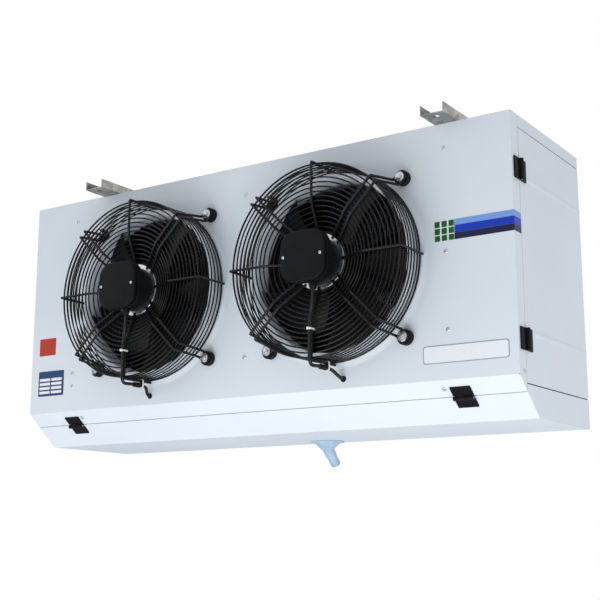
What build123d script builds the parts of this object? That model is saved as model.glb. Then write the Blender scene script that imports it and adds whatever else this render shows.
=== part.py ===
from build123d import *
from math import cos, hypot, pi, radians, sin, sqrt, tan
import os

# Walk-in unit cooler: two fans draw room air through a finned coil and blow it out of the front.
# Millimetres. +Z is up, the fans face -Y and +X runs along the casing. The origin is the centre of
# the four hanger holes, at half the thickness of the hanger rails.

# ---------------------------------------------------------------- driving dimensions
CASING_WIDTH = 1250.0
CASING_DEPTH = 348.0
FRONT_HEIGHT = 504.0          # flat front face, above the chamfer
CHAMFER_RUN = 84.5            # how far back the chamfer goes
CHAMFER_DROP = 73.0           # and how far down
SHEET = 1.2                   # powder-coated steel sheet
SEAM_GAP = 1.5                # gap round the doors and the drain pan
SEAM_DEPTH = 33.25            # hinge seam, behind the front face
HEM = 10.0                    # stiffening flange on a sheet's edge
TOP_LIP = 24.5                # side lip of the top panel
TOP_FLANGE = 34.0             # front panel's flange under the top panel
DOOR_BELOW_FOLD = 12.0        # lower edge of the side doors, below the lower fold
DOOR_PAN_GAP = 2.0            # between the doors and the pan
NOTCH = 4.0                   # relief at the front panel's corners
REAR_GAP = 0.8                # slack behind the rear plates, for the doors' swing
HEM_STOP = 3.0                # doors' upper and lower flanges stop before the rear plates
BEAD_LEVELS = (121.0, 420.0)  # pressed beads on the doors, below the top
BEAD_HEIGHT = 9.0
BEAD_RISE = 1.2
BEAD_BEHIND_LEAF = 1.5        # beads start behind the hinge leaves

RAIL_INSETS = (240.0, 134.0)     # hanger rails, from the casing's left and right sides
RAIL_WIDTH = 50.0
RAIL_HEIGHT = 20.0
RAIL_WALL = 2.0
RAIL_OVERHANG = 61.0
HANGER_HOLE = 13.0
HOLE_INSET = 20.0
RAIL_BOLT_SPACING = 240.0

LEFT_BAY = 122.0              # service bay at each end of the coil
RIGHT_BAY = 129.0
PLATE = 1.5                   # galvanised end plates
PLATE_FLANGE = 24.0
PLATE_BELOW_FOLD = 18.0       # lower edge of the end plates, below the lower fold
DIVIDER_AT = 621.0            # fan divider, from the casing's left side
DIVIDER_ABOVE_FOLD = 4.0
REAR_RAIL_HEIGHT = 24.0

FAN_CENTRES = (381.0, 862.0)  # from the casing's left side
FAN_BELOW_MIDDLE = 5.0        # fan axis below the middle of the front face
NOZZLE_FOOT = 208.0           # nozzle radii and heights, from its foot on the panel to its throat
NOZZLE_NECK = 190.5
NOZZLE_NECK_HEIGHT = 5.0
NOZZLE_SHOULDER = 189.5
NOZZLE_HEIGHT = 28.0
NOZZLE_THROAT = 179.0
NOZZLE_TAIL = 12.0
NOZZLE_SIDES = 24

GUARD_RADIUS = 195.0
GUARD_FRONT = 92.0            # spoke centre line in front of the panel
GUARD_REAR = 8.0
GUARD_SIDE_RINGS = 2
GUARD_FACE_RINGS = (152.0, 104.0)
GUARD_HUB = 50.0
GUARD_HUB_WIDTH = 5.0
GUARD_SHOULDER = 118.0        # where the spokes rise from the hub to the front
HUB_SET_BACK = 31.0           # hub ring's rear face, behind the spokes' centre line
RING_WIRE = 4.0
RING_SIDES = 24               # flats round a side ring
FACE_RING_SIDES = 16
HUB_SIDES = 16
SPOKE_WIRE = 6.0
PAIR_PITCH = 17.0             # between the two wires of a mounting arm
EYE_OUT = 30.0                # bolts of the mounting arms, outside the guard's radius
ARM_KNEE_OUT = 17.0
ARM_ANGLES = (45.0, 135.0, 225.0, 315.0)
EYE_CHORDS = 3
SPACER_HEIGHT = 13.0
SPACER_RADIUS = 16.0
SPACER_SIDES = 8
BOLT_SIZE = 6.0
WASHER_RADIUS = 10.0
WASHER_HEIGHT = 1.6
BOLT_HEAD = 10.0
BOLT_HEAD_HEIGHT = 4.0

MOTOR_RADIUS = 48.0
FLANGE_RADIUS = 57.0
FLANGE_THICK = 4.0
CAP_SIZE = 102.0
CAP_CORNER = 30.0
CAP_BASE = 13.0
CAP_LID = 13.0
CAP_FRONT = 128.0             # front of the motor cap, before the panel
CAP_SCREW_OFFSET = 43.0
SHAFT_RADIUS = 6.0
RUNNING_FIT = 0.05
BEARING_RADIUS = 13.0
BEARING_WIDTH = 10.0
BEARING_SIDES = 8
MOTOR_SIDES = 20
CAP_CHORDS = 3
ROTOR_BACK = -20.0
ROTOR_GAP = 2.5
SHAFT_SEAT = 10.0             # rotor's closed back, behind the shaft's end
SHAFT_SHORT = 2.0             # shaft ends inside the cap's base
IMPELLER_RING = 3.0
IMPELLER_RING_BACK = -16.0
IMPELLER_RING_FRONT = 14.0
BLADE_COUNT = 5
BLADE_TIP = 174.0
BLADE_THICK = 2.0
BLADE_LEAD = ((-28.0, 50.0), (-33.0, 105.0), (-74.0, 178.0))   # offset from the blade's line, radius
BLADE_TRAIL = ((26.0, 50.0), (58.0, 105.0), (76.0, 178.0))
BLADE_FOLDS = ((-80.0, 22.0), (-25.0, 4.0), (30.0, -17.0), (80.0, -46.0))   # offset, height

CABLE = 7.0
CABLE_SIDES = 4
CABLE_ENTRIES = (-6.5, 15.0)  # where each cable enters the panel, beside the fan's centre line
GLAND_AT = 14.0
GLAND_RADIUS = 8.0
GLAND_LENGTH = 15.0
SLEEVE_RADIUS = 5.5
SLEEVE_ENDS = (42.0, 62.0)    # heights of the black sleeve's ends before the panel
SOCKET_RADIUS = 6.5
SOCKET_RIM = 1.5
SOCKET_DEPTH = 22.0
SOCKET_BODY = 9.0
SOCKET_NECK = 5.0
SOCKET_SIDES = 8
SOCKET_AT = 228.0             # cable's entry into the panel, below the fan's axis
TIE_BAND = 1.4
TIE_WIDTH = 3.6
TIE_CLEAR = 0.3
FRONT_TIE_AT = 140.0          # tie over the lower spoke, from the fan's axis
REAR_TIE_AT = 36.5            # tie under the basket, before the panel

ROW_PITCH = 50.0              # coil: three rows deep, eight tubes high
ROWS = 3
LEVELS = 8
TUBE = 15.9
TUBE_SIDES = 6
COIL_BACK = 20.0              # fins' rear edge, inside the casing's back
COIL_TOP = 24.0
FIN_THICK = 0.5
FIN_PITCH = 20.0
BEND_CORNERS = 2              # corners of a U-bend
BEND_STRAIGHT = 10.0
HEATER = 8.5
HEATER_OUT = 22.0

HEADER_RADIUS = 17.0
HEADER_OUT = 65.0             # header axis, outside the right end plate
HEADER_MARGIN = 22.0
HEADER_SIDES = 12
SUCTION_PIPE = 14.0
SUCTION_LEVEL = 95.0
PIPE_OUT = 32.0               # pipe stubs behind the casing
PIPE_SPIGOT = 26.0            # plain end of each stub, outside its stop bead
BEAD_WIDTH = 2.0
BEAD_OUT = 1.5
DISTRIBUTOR_OUT = 94.0
DISTRIBUTOR_BACK = 226.0
DISTRIBUTOR_LEVEL = 250.0
DISTRIBUTOR_HEIGHT = 40.0
DISTRIBUTOR_TOP = 14.0
DISTRIBUTOR_FOOT = 7.0
LIQUID_PIPE = 6.0
LIQUID_DROP = 30.0
LIQUID_BEND = 10.0
FEEDER = 5.0
FEEDER_SPREAD = 6.0           # outlets from the distributor's axis
FEEDER_DROP_OUT = 68.0        # feeders' upright runs, outside the right end plate
FEEDER_RISE = 10.0            # between the heights where the feeders leave sideways
FEEDER_STEP = 12.0            # and between their upright runs
FEEDER_END = 12.0
PIPE_SLEEVE = 3.0             # rubber round each pipe where it leaves
SLEEVE_LENGTH = 9.0
SLEEVE_SIDES = 12

BOX_WIDTH = 55.0              # fan terminal box in the right bay
BOX_DEPTH = 80.0
BOX_HEIGHT = 110.0
BOX_AT = 52.0
BOX_TOP = 60.0
BOX_WALL = 2.5

HINGE_OFFSET = 5.0            # hinge axis, outside the sheet
HINGE_LENGTH = 42.0
HINGE_REACH = 26.0
LEAF_THICK = 3.0
KNUCKLE_RADIUS = 4.7
KNUCKLE_GAP = 0.4
LEAF_CLEAR = 5.2              # leaf edge from the axis, clear of the other leaf's knuckle
PIN_RADIUS = 1.75
PIN_SIDES = 8
DOOR_HINGE_INSETS = (110.0, 68.0)   # hinge centres below the top and above the lower fold
PAN_HINGE_INSETS = (124.0, 127.0)   # hinge centres from the casing's left and right sides

SCREW_HEAD = 4.5
SCREW_HEAD_HEIGHT = 2.0
SCREW_SHANK = 3.5
SCREW_SIDES = 6
LEFT_SCREWS = (50.0, 415.0, 445.0)     # below the top
CENTRE_SCREWS = (65.0, 421.0)
RIGHT_SCREWS = (50.0, 257.0, 408.0)
LIP_SCREW_INSETS = (156.0, 160.0)      # from the casing's left and right sides
RETURN_SCREW = (21.0, 8.0)             # behind the front face, above the lower fold
LOCK_SLOT = 7.0
LOCK_HEAD = 5.5
LOCK_GAP = 1.0
LOCK_INSETS = (42.0, 36.0)             # below the top, and above the doors' lower edge
DOOR_FLANGE = 16.0
PAN_LOCK_INSET = 60.0

DRAIN_AT = (650.0, 50.0)      # from the casing's left side and back
DRAIN_FLANGE = 38.5
DRAIN_FLANGE_THICK = 3.0
DRAIN_CONE = 29.0
DRAIN_CONE_HEIGHT = 17.0
DRAIN_PIPE = 11.3
DRAIN_BORE = 8.5
DRAIN_LENGTH = 50.0
DRAIN_ROOT = 12.6             # thicker root of the pipe, a stop for the hose
DRAIN_SPIGOT = 26.0
DRAIN_TILT = 45.0
DRAIN_THREAD = 15.0
DRAIN_SIDES = 16
LOCKNUT_RADIUS = 25.0
LOCKNUT_HEIGHT = 8.0

# ---------------------------------------------------------------- places worked out from them
RAIL_CENTRES = (RAIL_INSETS[0], CASING_WIDTH - RAIL_INSETS[1])
LEFT = -sum(RAIL_CENTRES) / 2
RIGHT = LEFT + CASING_WIDTH
FRONT = -CASING_DEPTH / 2
BACK = CASING_DEPTH / 2
TOP = -RAIL_WALL / 2
FOLD = TOP - FRONT_HEIGHT
FLOOR = FOLD - CHAMFER_DROP
DOOR_LOW = FOLD - DOOR_BELOW_FOLD
PAN_RIM = DOOR_LOW - DOOR_PAN_GAP
PLATE_LOW = FOLD - PLATE_BELOW_FOLD
SLOPE = CHAMFER_DROP / CHAMFER_RUN
CHAMFER = hypot(CHAMFER_RUN, CHAMFER_DROP)
ALONG = Vector(0, CHAMFER_RUN / CHAMFER, -CHAMFER_DROP / CHAMFER)
OUTWARD = Vector(0, -CHAMFER_DROP / CHAMFER, -CHAMFER_RUN / CHAMFER)
SEAM = FRONT + SEAM_DEPTH
FRAME_EDGE = SEAM - SEAM_GAP / 2
DOOR_EDGE = SEAM + SEAM_GAP / 2
SEAM_ALONG = SEAM_DEPTH * CHAMFER / CHAMFER_RUN
REAR_FACE = BACK - SHEET - REAR_GAP
PLATE_LEFT = LEFT + LEFT_BAY
PLATE_RIGHT = RIGHT - RIGHT_BAY
COIL_REAR = BACK - COIL_BACK
COIL_FRONT = COIL_REAR - ROWS * ROW_PITCH
TUBE_PITCH = (FRONT_HEIGHT - COIL_TOP) / LEVELS
FAN_Z = TOP - FRONT_HEIGHT / 2 - FAN_BELOW_MIDDLE
HUB_FRONT = CAP_FRONT - CAP_LID - CAP_BASE
FLANGE_FRONT = GUARD_FRONT - HUB_SET_BACK
HUB_CENTRE = FLANGE_FRONT + SPOKE_WIRE / 2
ARM_FOOT = SPACER_HEIGHT + SPOKE_WIRE / 2
SPOKE_CORNER = GUARD_RADIUS + RING_WIRE / 2 + SPOKE_WIRE / 2
ARM_EYE = GUARD_RADIUS + EYE_OUT
ARM_KNEE = GUARD_RADIUS + ARM_KNEE_OUT
CABLE_DEPTH = CAP_FRONT - CAP_LID - CAP_BASE / 2
GLAND_END = CAP_SIZE / 2 + GLAND_LENGTH
OVER_SPOKE = GUARD_FRONT + SPOKE_WIRE / 2 + CABLE / 2 + 0.6
UNDER_SPOKE = SPOKE_CORNER + SPOKE_WIRE / 2 + SLEEVE_RADIUS + 0.6
HEADER_X = PLATE_RIGHT + HEADER_OUT
HEADER_Y = COIL_REAR - ROW_PITCH / 2
PIPE_END = BACK + PIPE_OUT
DISTRIBUTOR_X = PLATE_RIGHT + DISTRIBUTOR_OUT
DISTRIBUTOR_Y = FRONT + DISTRIBUTOR_BACK
DISTRIBUTOR_Z = TOP - DISTRIBUTOR_LEVEL
LIQUID_Z = DISTRIBUTOR_Z - DISTRIBUTOR_HEIGHT - LIQUID_DROP


# ---------------------------------------------------------------- helpers
def block(x0, x1, y0, y1, z0, z1):
    """A box between two corners."""
    centre = Pos((x0 + x1) / 2, (y0 + y1) / 2, (z0 + z1) / 2)
    return centre * Box(abs(x1 - x0), abs(y1 - y0), abs(z1 - z0))


def outline(points):
    """A face from a closed run of straight edges."""
    return make_face(Polyline(*points, close=True))


def fold_line(points, thickness):
    """The closed outline of a bent sheet: the given outer line and its inner line, to the left."""
    line = [Vector(*p) for p in points]
    runs = [(b - a).normalized() for a, b in zip(line, line[1:])]
    sides = [Vector(-r.Y, r.X) for r in runs]
    inner = [line[0] + sides[0] * thickness]
    for corner, before, after in zip(line[1:-1], sides, sides[1:]):
        inner.append(corner + (before + after) * (thickness / (1 + before.dot(after))))
    inner.append(line[-1] + sides[-1] * thickness)
    return [(p.X, p.Y) for p in line + inner[::-1]]


def side_profile(points, x0, x1):
    """A shape drawn in the YZ plane, from one X to another."""
    return extrude(Plane.YZ.offset(x0) * outline(points), x1 - x0)


def plan_profile(points, z0, z1):
    """A shape drawn in the XY plane, from one height to another."""
    return extrude(Plane.XY.offset(z0) * outline(points), z1 - z0)


def prism(radius, sides, height, bore=0.0, bore_sides=0):
    """A many-sided bar along Z that stands on the origin, with an optional many-sided bore."""
    face = RegularPolygon(radius, sides)
    if bore:
        face = face - RegularPolygon(bore, bore_sides or sides)
    return extrude(face, height)


def tube_along(points, radius, sides):
    """A many-sided tube along a bent centre line."""
    path = Polyline(*points)
    start = Plane(origin=path @ 0, z_dir=path % 0)
    return sweep(start * RegularPolygon(radius, sides), path=path, transition=Transition.RIGHT)


def turned(stations, sides):
    """A many-sided turned solid through stations of radius and height, bounded by flat faces."""
    turns = [2 * pi * i / sides for i in range(sides)]
    rings = [[(r * cos(a), r * sin(a), z) for a in turns] for r, z in stations]
    faces = [Face(Wire.make_polygon(ring)) for ring in (rings[0], rings[-1])]
    for lower, upper in zip(rings, rings[1:]):
        for i in range(sides):
            j = (i + 1) % sides
            faces.append(Face(Wire.make_polygon([lower[i], lower[j], upper[j], upper[i]])))
    return Solid(Shell(faces))


def around(radius, sides):
    """Circumscribed radius of a many-sided bore that just clears a round bar."""
    return radius / cos(pi / sides)


def fan_frame(index):
    """A fan's own frame: X along the casing, Y up, Z out of the front panel."""
    origin = (LEFT + FAN_CENTRES[index], FRONT, FAN_Z)
    return Plane(origin=origin, x_dir=(1, 0, 0), z_dir=(0, -1, 0)).location


def chamfer_point(distance, outward=0.0):
    """A point on the chamfer, by its distance from the fold and its height off the sheet."""
    fold = Vector(0, FRONT, FOLD)
    place = fold + ALONG * distance + OUTWARD * outward
    return (place.Y, place.Z)


def solids(pieces):
    """Several separate pieces that share one node."""
    return Compound(children=list(pieces))


# ---------------------------------------------------------------- casing
def top_panel():
    """Flat top with side and rear lips."""
    flat = block(LEFT, RIGHT, FRONT, BACK, TOP - SHEET, TOP)
    rear = block(LEFT, RIGHT, BACK - SHEET, BACK, TOP - TOP_LIP, TOP)
    left = block(LEFT, LEFT + SHEET, DOOR_EDGE, BACK, TOP - TOP_LIP, TOP)
    right = block(RIGHT - SHEET, RIGHT, DOOR_EDGE, BACK, TOP - TOP_LIP, TOP)
    return flat + rear + left + right


def nozzle():
    """The fan nozzle drawn forward out of the panel, in the fan's own frame."""
    flank = turned([(NOZZLE_FOOT, -SHEET), (NOZZLE_FOOT, 0), (NOZZLE_NECK, NOZZLE_NECK_HEIGHT),
                    (NOZZLE_SHOULDER, NOZZLE_HEIGHT)], NOZZLE_SIDES)
    hollow = turned([(NOZZLE_FOOT - SHEET, -SHEET), (NOZZLE_NECK - SHEET, NOZZLE_NECK_HEIGHT - SHEET),
                     (NOZZLE_SHOULDER - SHEET, NOZZLE_HEIGHT - SHEET)], NOZZLE_SIDES)
    throat = Pos(0, 0, -NOZZLE_TAIL) * prism(
        NOZZLE_THROAT + SHEET, NOZZLE_SIDES, NOZZLE_TAIL + NOZZLE_HEIGHT)
    bore = Pos(0, 0, -NOZZLE_TAIL - 1) * prism(
        NOZZLE_THROAT, NOZZLE_SIDES, NOZZLE_TAIL + NOZZLE_HEIGHT + 2)
    return flank - hollow + throat - bore


def front_panel():
    """Front face with its top flange, chamfer lip, side returns and two drawn nozzles."""
    top = TOP - SHEET
    lip = chamfer_point(SEAM_ALONG - SEAM_GAP / 2)
    folds = [(FRONT + TOP_FLANGE, top), (FRONT, top), (FRONT, FOLD), lip]
    panel = side_profile(fold_line(folds, SHEET), LEFT, RIGHT)
    drop = FOLD - (FRAME_EDGE - FRONT) * SLOPE
    cheek = [(FRONT, top), (FRAME_EDGE, top), (FRAME_EDGE, drop), (FRONT, FOLD)]
    for x0, x1, hem in ((LEFT, LEFT + SHEET, LEFT + HEM), (RIGHT - SHEET, RIGHT, RIGHT - HEM)):
        panel += side_profile(cheek, x0, x1)
        edge = (FRAME_EDGE - SHEET, FRAME_EDGE, TOP - TOP_LIP - SEAM_GAP, FOLD - HEM)
        panel += block(x0 if hem > x0 else hem, x1 if hem < x1 else hem, *edge)
    for index in range(2):
        place = fan_frame(index)
        panel -= place * Pos(0, 0, -2 * SHEET) * prism(NOZZLE_FOOT, NOZZLE_SIDES, 3 * SHEET)
        panel += place * nozzle()
        panel -= place * socket_place(index) * Pos(0, 0, -2 * SHEET) * prism(
            SOCKET_NECK, SOCKET_SIDES, 3 * SHEET)
    for x in (LEFT, RIGHT):
        for z in (TOP, FOLD):
            panel -= Pos(x, FRONT, z) * Box(NOTCH, NOTCH, NOTCH)
    return panel


def end_plate(outer, inboard):
    """Galvanised tube sheet with a front flange; inboard is +1 or -1 towards the fans."""
    inner = outer + inboard * PLATE
    front = FRONT + SHEET
    low = PLATE_LOW
    high = TOP - 2 * SHEET
    corner = FRONT + SHEET + (FOLD - low) / SLOPE + 2 * HEM
    web = [(front, high), (REAR_FACE, high), (REAR_FACE, low), (corner, low), (front, FOLD + HEM)]
    plate = side_profile(web, min(outer, inner), max(outer, inner))
    far = outer + inboard * PLATE_FLANGE
    return plate + block(outer, far, front, front + PLATE, FOLD + HEM, high)


def fan_divider():
    """Sheet between the two fans, from the front panel to the coil."""
    x = LEFT + DIVIDER_AT
    front = FRONT + SHEET
    low = FOLD + DIVIDER_ABOVE_FOLD
    high = TOP - 2 * SHEET
    web = block(x, x + SHEET, front, COIL_FRONT - SHEET, low, high)
    return web + block(x, x + PLATE_FLANGE, front, front + SHEET, low, high)


def rear_plate(inner, outer, holes):
    """Plate that closes a service bay at the back, flanged on both sides, with its pipe holes."""
    toward = 1 if outer > inner else -1
    edge = outer - toward * (SHEET + SEAM_GAP)
    depth = REAR_FACE - DOOR_FLANGE
    folds = [(inner, depth), (inner, REAR_FACE), (edge, REAR_FACE), (edge, depth)]
    if toward > 0:
        folds = [(x, y) for x, y in folds[::-1]]
    plate = plan_profile(fold_line(folds, SHEET), PLATE_LOW, TOP - SHEET)
    for x, z, radius in holes:
        plate -= Pos(x, REAR_FACE + SHEET, z) * Rot(90, 0, 0) * prism(radius, SLEEVE_SIDES, 3 * SHEET)
    return plate


def rear_rail():
    """Angle under the coil, between the end plates."""
    folds = [(COIL_REAR - 3 * HEM, PLATE_LOW), (REAR_FACE, PLATE_LOW),
             (REAR_FACE, PLATE_LOW + REAR_RAIL_HEIGHT)]
    return side_profile(fold_line(folds, PLATE), PLATE_LEFT + PLATE, PLATE_RIGHT - PLATE)


def hanger_rail(centre):
    """Galvanised channel across the top, open upwards, with a hanger hole at each end."""
    x = LEFT + centre
    half = RAIL_WIDTH / 2
    high = TOP + RAIL_HEIGHT
    folds = [(x - half, high), (x - half, TOP), (x + half, TOP), (x + half, high)]
    ends = (FRONT - RAIL_OVERHANG, BACK + RAIL_OVERHANG)
    face = Plane(origin=(0, ends[0], 0), x_dir=(1, 0, 0), z_dir=(0, -1, 0)) * outline(
        fold_line(folds, RAIL_WALL))
    rail = extrude(face, -(ends[1] - ends[0]))
    for y in (ends[0] + HOLE_INSET, ends[1] - HOLE_INSET):
        rail -= Pos(x, y, 0) * Cylinder(HANGER_HOLE / 2, 4 * RAIL_WALL)
    return rail


# ---------------------------------------------------------------- screws and bolts
def screw(length, head=SCREW_HEAD):
    """A self-tapping screw along +Z, driven down into the sheet below the origin."""
    shank = Pos(0, 0, -length) * prism(SCREW_SHANK / sqrt(2), 4, length)
    return prism(head, SCREW_SIDES, SCREW_HEAD_HEIGHT) + shank


def facing_front(x, z):
    """A place on the front face, with +Z out of it."""
    return Plane(origin=(x, FRONT, z), x_dir=(1, 0, 0), z_dir=(0, -1, 0)).location


def panel_screws():
    """Screws of the front face, its side returns and its chamfer lip."""
    grip = SHEET + PLATE + 1.0
    columns = (
        (PLATE_LEFT + PLATE_FLANGE / 2, LEFT_SCREWS),
        (LEFT + DIVIDER_AT + PLATE_FLANGE / 2, CENTRE_SCREWS),
        (PLATE_RIGHT - PLATE_FLANGE / 2, RIGHT_SCREWS),
    )
    driven = [facing_front(x, TOP - z) * screw(grip) for x, levels in columns for z in levels]
    y, z = chamfer_point(SEAM_ALONG / 2)
    for x in (LEFT + LIP_SCREW_INSETS[0], RIGHT - LIP_SCREW_INSETS[1]):
        place = Plane(origin=(x, y, z), x_dir=(1, 0, 0), z_dir=OUTWARD)
        driven.append(place.location * screw(2 * SHEET))
    for x, side in ((LEFT, -1), (RIGHT, 1)):
        place = Plane(origin=(x, FRONT + RETURN_SCREW[0], FOLD + RETURN_SCREW[1]), z_dir=(side, 0, 0))
        driven.append(place.location * screw(2 * SHEET))
    return solids(driven)


def rail_bolts():
    """Bolts that hold the hanger rails on the top panel."""
    grip = RAIL_WALL + 2 * SHEET
    places = [Pos(LEFT + x, y, TOP + RAIL_WALL) for x in RAIL_CENTRES
              for y in (-RAIL_BOLT_SPACING / 2, RAIL_BOLT_SPACING / 2)]
    return solids(place * screw(grip, BOLT_HEAD * 0.7) for place in places)


def lock_places(for_doors):
    """Places of the screws that lock the doors or the pan, on the rear plates."""
    if for_doors:
        inset = SHEET + DOOR_FLANGE / 2
        levels = (TOP - LOCK_INSETS[0], DOOR_LOW + LOCK_INSETS[1])
        return [(x, z) for x in (LEFT + inset, RIGHT - inset) for z in levels]
    return [(x, PAN_RIM - 0.75 * LOCK_SLOT) for x in (LEFT + PAN_LOCK_INSET, RIGHT - PAN_LOCK_INSET)]


def lock_screws(for_doors):
    """Rear screws, slackened by a turn, whose heads stand off the slotted flange."""
    stand = REAR_GAP + SHEET + LOCK_GAP
    pieces = []
    for x, z in lock_places(for_doors):
        place = Plane(origin=(x, REAR_FACE, z), x_dir=(1, 0, 0), z_dir=(0, 1, 0)).location
        shank = Pos(0, 0, -2 * SHEET) * prism(SCREW_SHANK / sqrt(2), 4, stand + 2 * SHEET)
        pieces.append(place * (shank + Pos(0, 0, stand) * prism(LOCK_HEAD, 6, BOLT_HEAD_HEIGHT)))
    return solids(pieces)


# ---------------------------------------------------------------- hinges
def knuckle(z0, z1):
    """One knuckle round the hinge axis, without its bore."""
    return Pos(0, 0, z0) * prism(KNUCKLE_RADIUS, PIN_SIDES, z1 - z0)


def hinge_leaf(side):
    """A leaf about the hinge axis. X runs along the sheet, Y out of it, Z along the axis.
    side -1 is the casing's leaf, which holds the pin, and +1 the moving leaf, which turns on it."""
    half = HINGE_LENGTH / 2
    face = (-HINGE_OFFSET, -HINGE_OFFSET + LEAF_THICK)
    plate = block(side * LEAF_CLEAR, side * HINGE_REACH, *face, -half, half)
    own = (-half, -KNUCKLE_GAP / 2) if side < 0 else (KNUCKLE_GAP / 2, half)
    web = block(0, side * (LEAF_CLEAR + 1), face[0] + 0.5, face[1], *own)
    bore = PIN_RADIUS if side < 0 else around(PIN_RADIUS + RUNNING_FIT, PIN_SIDES)
    return plate + web + knuckle(*own) - Pos(0, 0, -half - 1) * prism(bore, PIN_SIDES, HINGE_LENGTH + 2)


def hinge_pin():
    """Steel pin through both knuckles."""
    return Pos(0, 0, -HINGE_LENGTH / 2) * prism(PIN_RADIUS, PIN_SIDES, HINGE_LENGTH)


def door_hinge_places(side):
    """Hinge frames of the left (-1) or right (+1) door: X back, Y outwards."""
    x = (LEFT if side < 0 else RIGHT) + side * HINGE_OFFSET
    levels = (TOP - DOOR_HINGE_INSETS[0], FOLD + DOOR_HINGE_INSETS[1])
    return [Plane(origin=(x, SEAM, z), x_dir=(0, 1, 0), z_dir=(0, 0, -side)).location for z in levels]


def pan_hinge_places():
    """Hinge frames of the drain pan, on the chamfer."""
    y, z = chamfer_point(SEAM_ALONG, HINGE_OFFSET)
    return [Plane(origin=(x, y, z), x_dir=ALONG, z_dir=(-1, 0, 0)).location
            for x in (LEFT + PAN_HINGE_INSETS[0], RIGHT - PAN_HINGE_INSETS[1])]


# ---------------------------------------------------------------- doors and drain pan
def side_door(side):
    """Side cover: a flanged sheet with two pressed beads and slots for its rear screws."""
    outer = LEFT if side < 0 else RIGHT
    inward = -side
    hem = outer + inward * HEM
    flange = outer + inward * DOOR_FLANGE
    low, high = DOOR_LOW, TOP - TOP_LIP - SEAM_GAP
    folds = [(hem, DOOR_EDGE), (outer, DOOR_EDGE), (outer, BACK), (flange, BACK)]
    if side < 0:
        folds = folds[::-1]
    door = plan_profile(fold_line(folds, SHEET), low, high)
    hem_end = REAR_FACE - DOOR_FLANGE - HEM_STOP
    for z0, z1 in ((low, low + SHEET), (high - SHEET, high)):
        door += block(outer, hem, DOOR_EDGE, hem_end, z0, z1)
    start = SEAM + HINGE_REACH + BEAD_BEHIND_LEAF
    for level in BEAD_LEVELS:
        z = TOP - level
        rise = outer + side * BEAD_RISE
        profile = [(outer, z - BEAD_HEIGHT / 2), (rise, z - BEAD_HEIGHT / 4),
                   (rise, z + BEAD_HEIGHT / 4), (outer, z + BEAD_HEIGHT / 2)]
        plane = Plane(origin=(0, start, 0), x_dir=(1, 0, 0), z_dir=(0, -1, 0))
        door += extrude(plane * outline(profile), start - BACK)
    for x, z in lock_places(True):
        if (x - outer) * inward > 0 and abs(x - outer) < DOOR_FLANGE:
            door -= block(x + side * LOCK_SLOT / 2, flange + inward, BACK - 2 * SHEET, BACK + 1,
                          z - LOCK_SLOT / 2, z + LOCK_SLOT / 2)
    return door


def drain_pan():
    """Drain pan: a sheet folded for the chamfer and the floor, with welded rear and side walls."""
    start = chamfer_point(SEAM_ALONG + SEAM_GAP / 2)
    hem = chamfer_point(SEAM_ALONG + SEAM_GAP / 2, -HEM)
    heel = (FRONT + CHAMFER_RUN, FLOOR)
    end = BACK - SHEET
    sheet = side_profile(fold_line([hem, start, heel, (end, FLOOR)], SHEET), LEFT + SHEET, RIGHT - SHEET)
    drain = Pos(LEFT + DRAIN_AT[0], BACK - DRAIN_AT[1], FLOOR)
    sheet -= drain * Pos(0, 0, -SHEET) * prism(DRAIN_THREAD, DRAIN_SIDES, 3 * SHEET)
    edge = FOLD - (DOOR_EDGE - FRONT) * SLOPE
    side = [(DOOR_EDGE, PAN_RIM), (DOOR_EDGE, edge), heel, (end, FLOOR), (end, PAN_RIM)]
    sides = [side_profile(side, x, x + SHEET) for x in (LEFT, RIGHT - SHEET)]
    rear = block(LEFT, RIGHT, end, BACK, FLOOR, PAN_RIM)
    for x, z in lock_places(False):
        rear -= block(x - LOCK_SLOT / 2, x + LOCK_SLOT / 2, end - SHEET, BACK + 1,
                      z - LOCK_SLOT / 2, PAN_RIM + 1)
    return solids([sheet, rear] + sides)


def drain_spout():
    """Plastic drain spout: threaded neck, flange, cone and a pipe tilted to the back."""
    cone_foot = -DRAIN_FLANGE_THICK - DRAIN_CONE_HEIGHT
    inside = SHEET + LOCKNUT_HEIGHT
    body = prism(DRAIN_THREAD, DRAIN_SIDES, inside)
    body += Pos(0, 0, -DRAIN_FLANGE_THICK) * prism(DRAIN_FLANGE, DRAIN_SIDES, DRAIN_FLANGE_THICK)
    body += turned([(DRAIN_PIPE, cone_foot), (DRAIN_CONE, -DRAIN_FLANGE_THICK)], DRAIN_SIDES)
    elbow = Pos(0, 0, cone_foot + DRAIN_PIPE / 2) * Rot(DRAIN_TILT, 0, 0)
    body += elbow * Pos(0, 0, DRAIN_SPIGOT - DRAIN_LENGTH) * prism(
        DRAIN_ROOT, DRAIN_SIDES, DRAIN_LENGTH - DRAIN_SPIGOT)
    body += elbow * Pos(0, 0, DRAIN_SPIGOT / 2 - DRAIN_LENGTH) * Cylinder(DRAIN_PIPE, DRAIN_SPIGOT)
    body -= elbow * Pos(0, 0, -DRAIN_LENGTH - 1) * prism(DRAIN_BORE, DRAIN_SIDES // 2, DRAIN_LENGTH + 1)
    body -= Pos(0, 0, cone_foot) * prism(DRAIN_BORE, DRAIN_SIDES // 2, inside - cone_foot + 1)
    return Pos(LEFT + DRAIN_AT[0], BACK - DRAIN_AT[1], FLOOR) * body


def drain_locknut():
    """Nut that clamps the spout inside the pan."""
    nut = prism(LOCKNUT_RADIUS, 6, LOCKNUT_HEIGHT, DRAIN_THREAD, DRAIN_SIDES)
    return Pos(LEFT + DRAIN_AT[0], BACK - DRAIN_AT[1], FLOOR + SHEET) * nut


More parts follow.
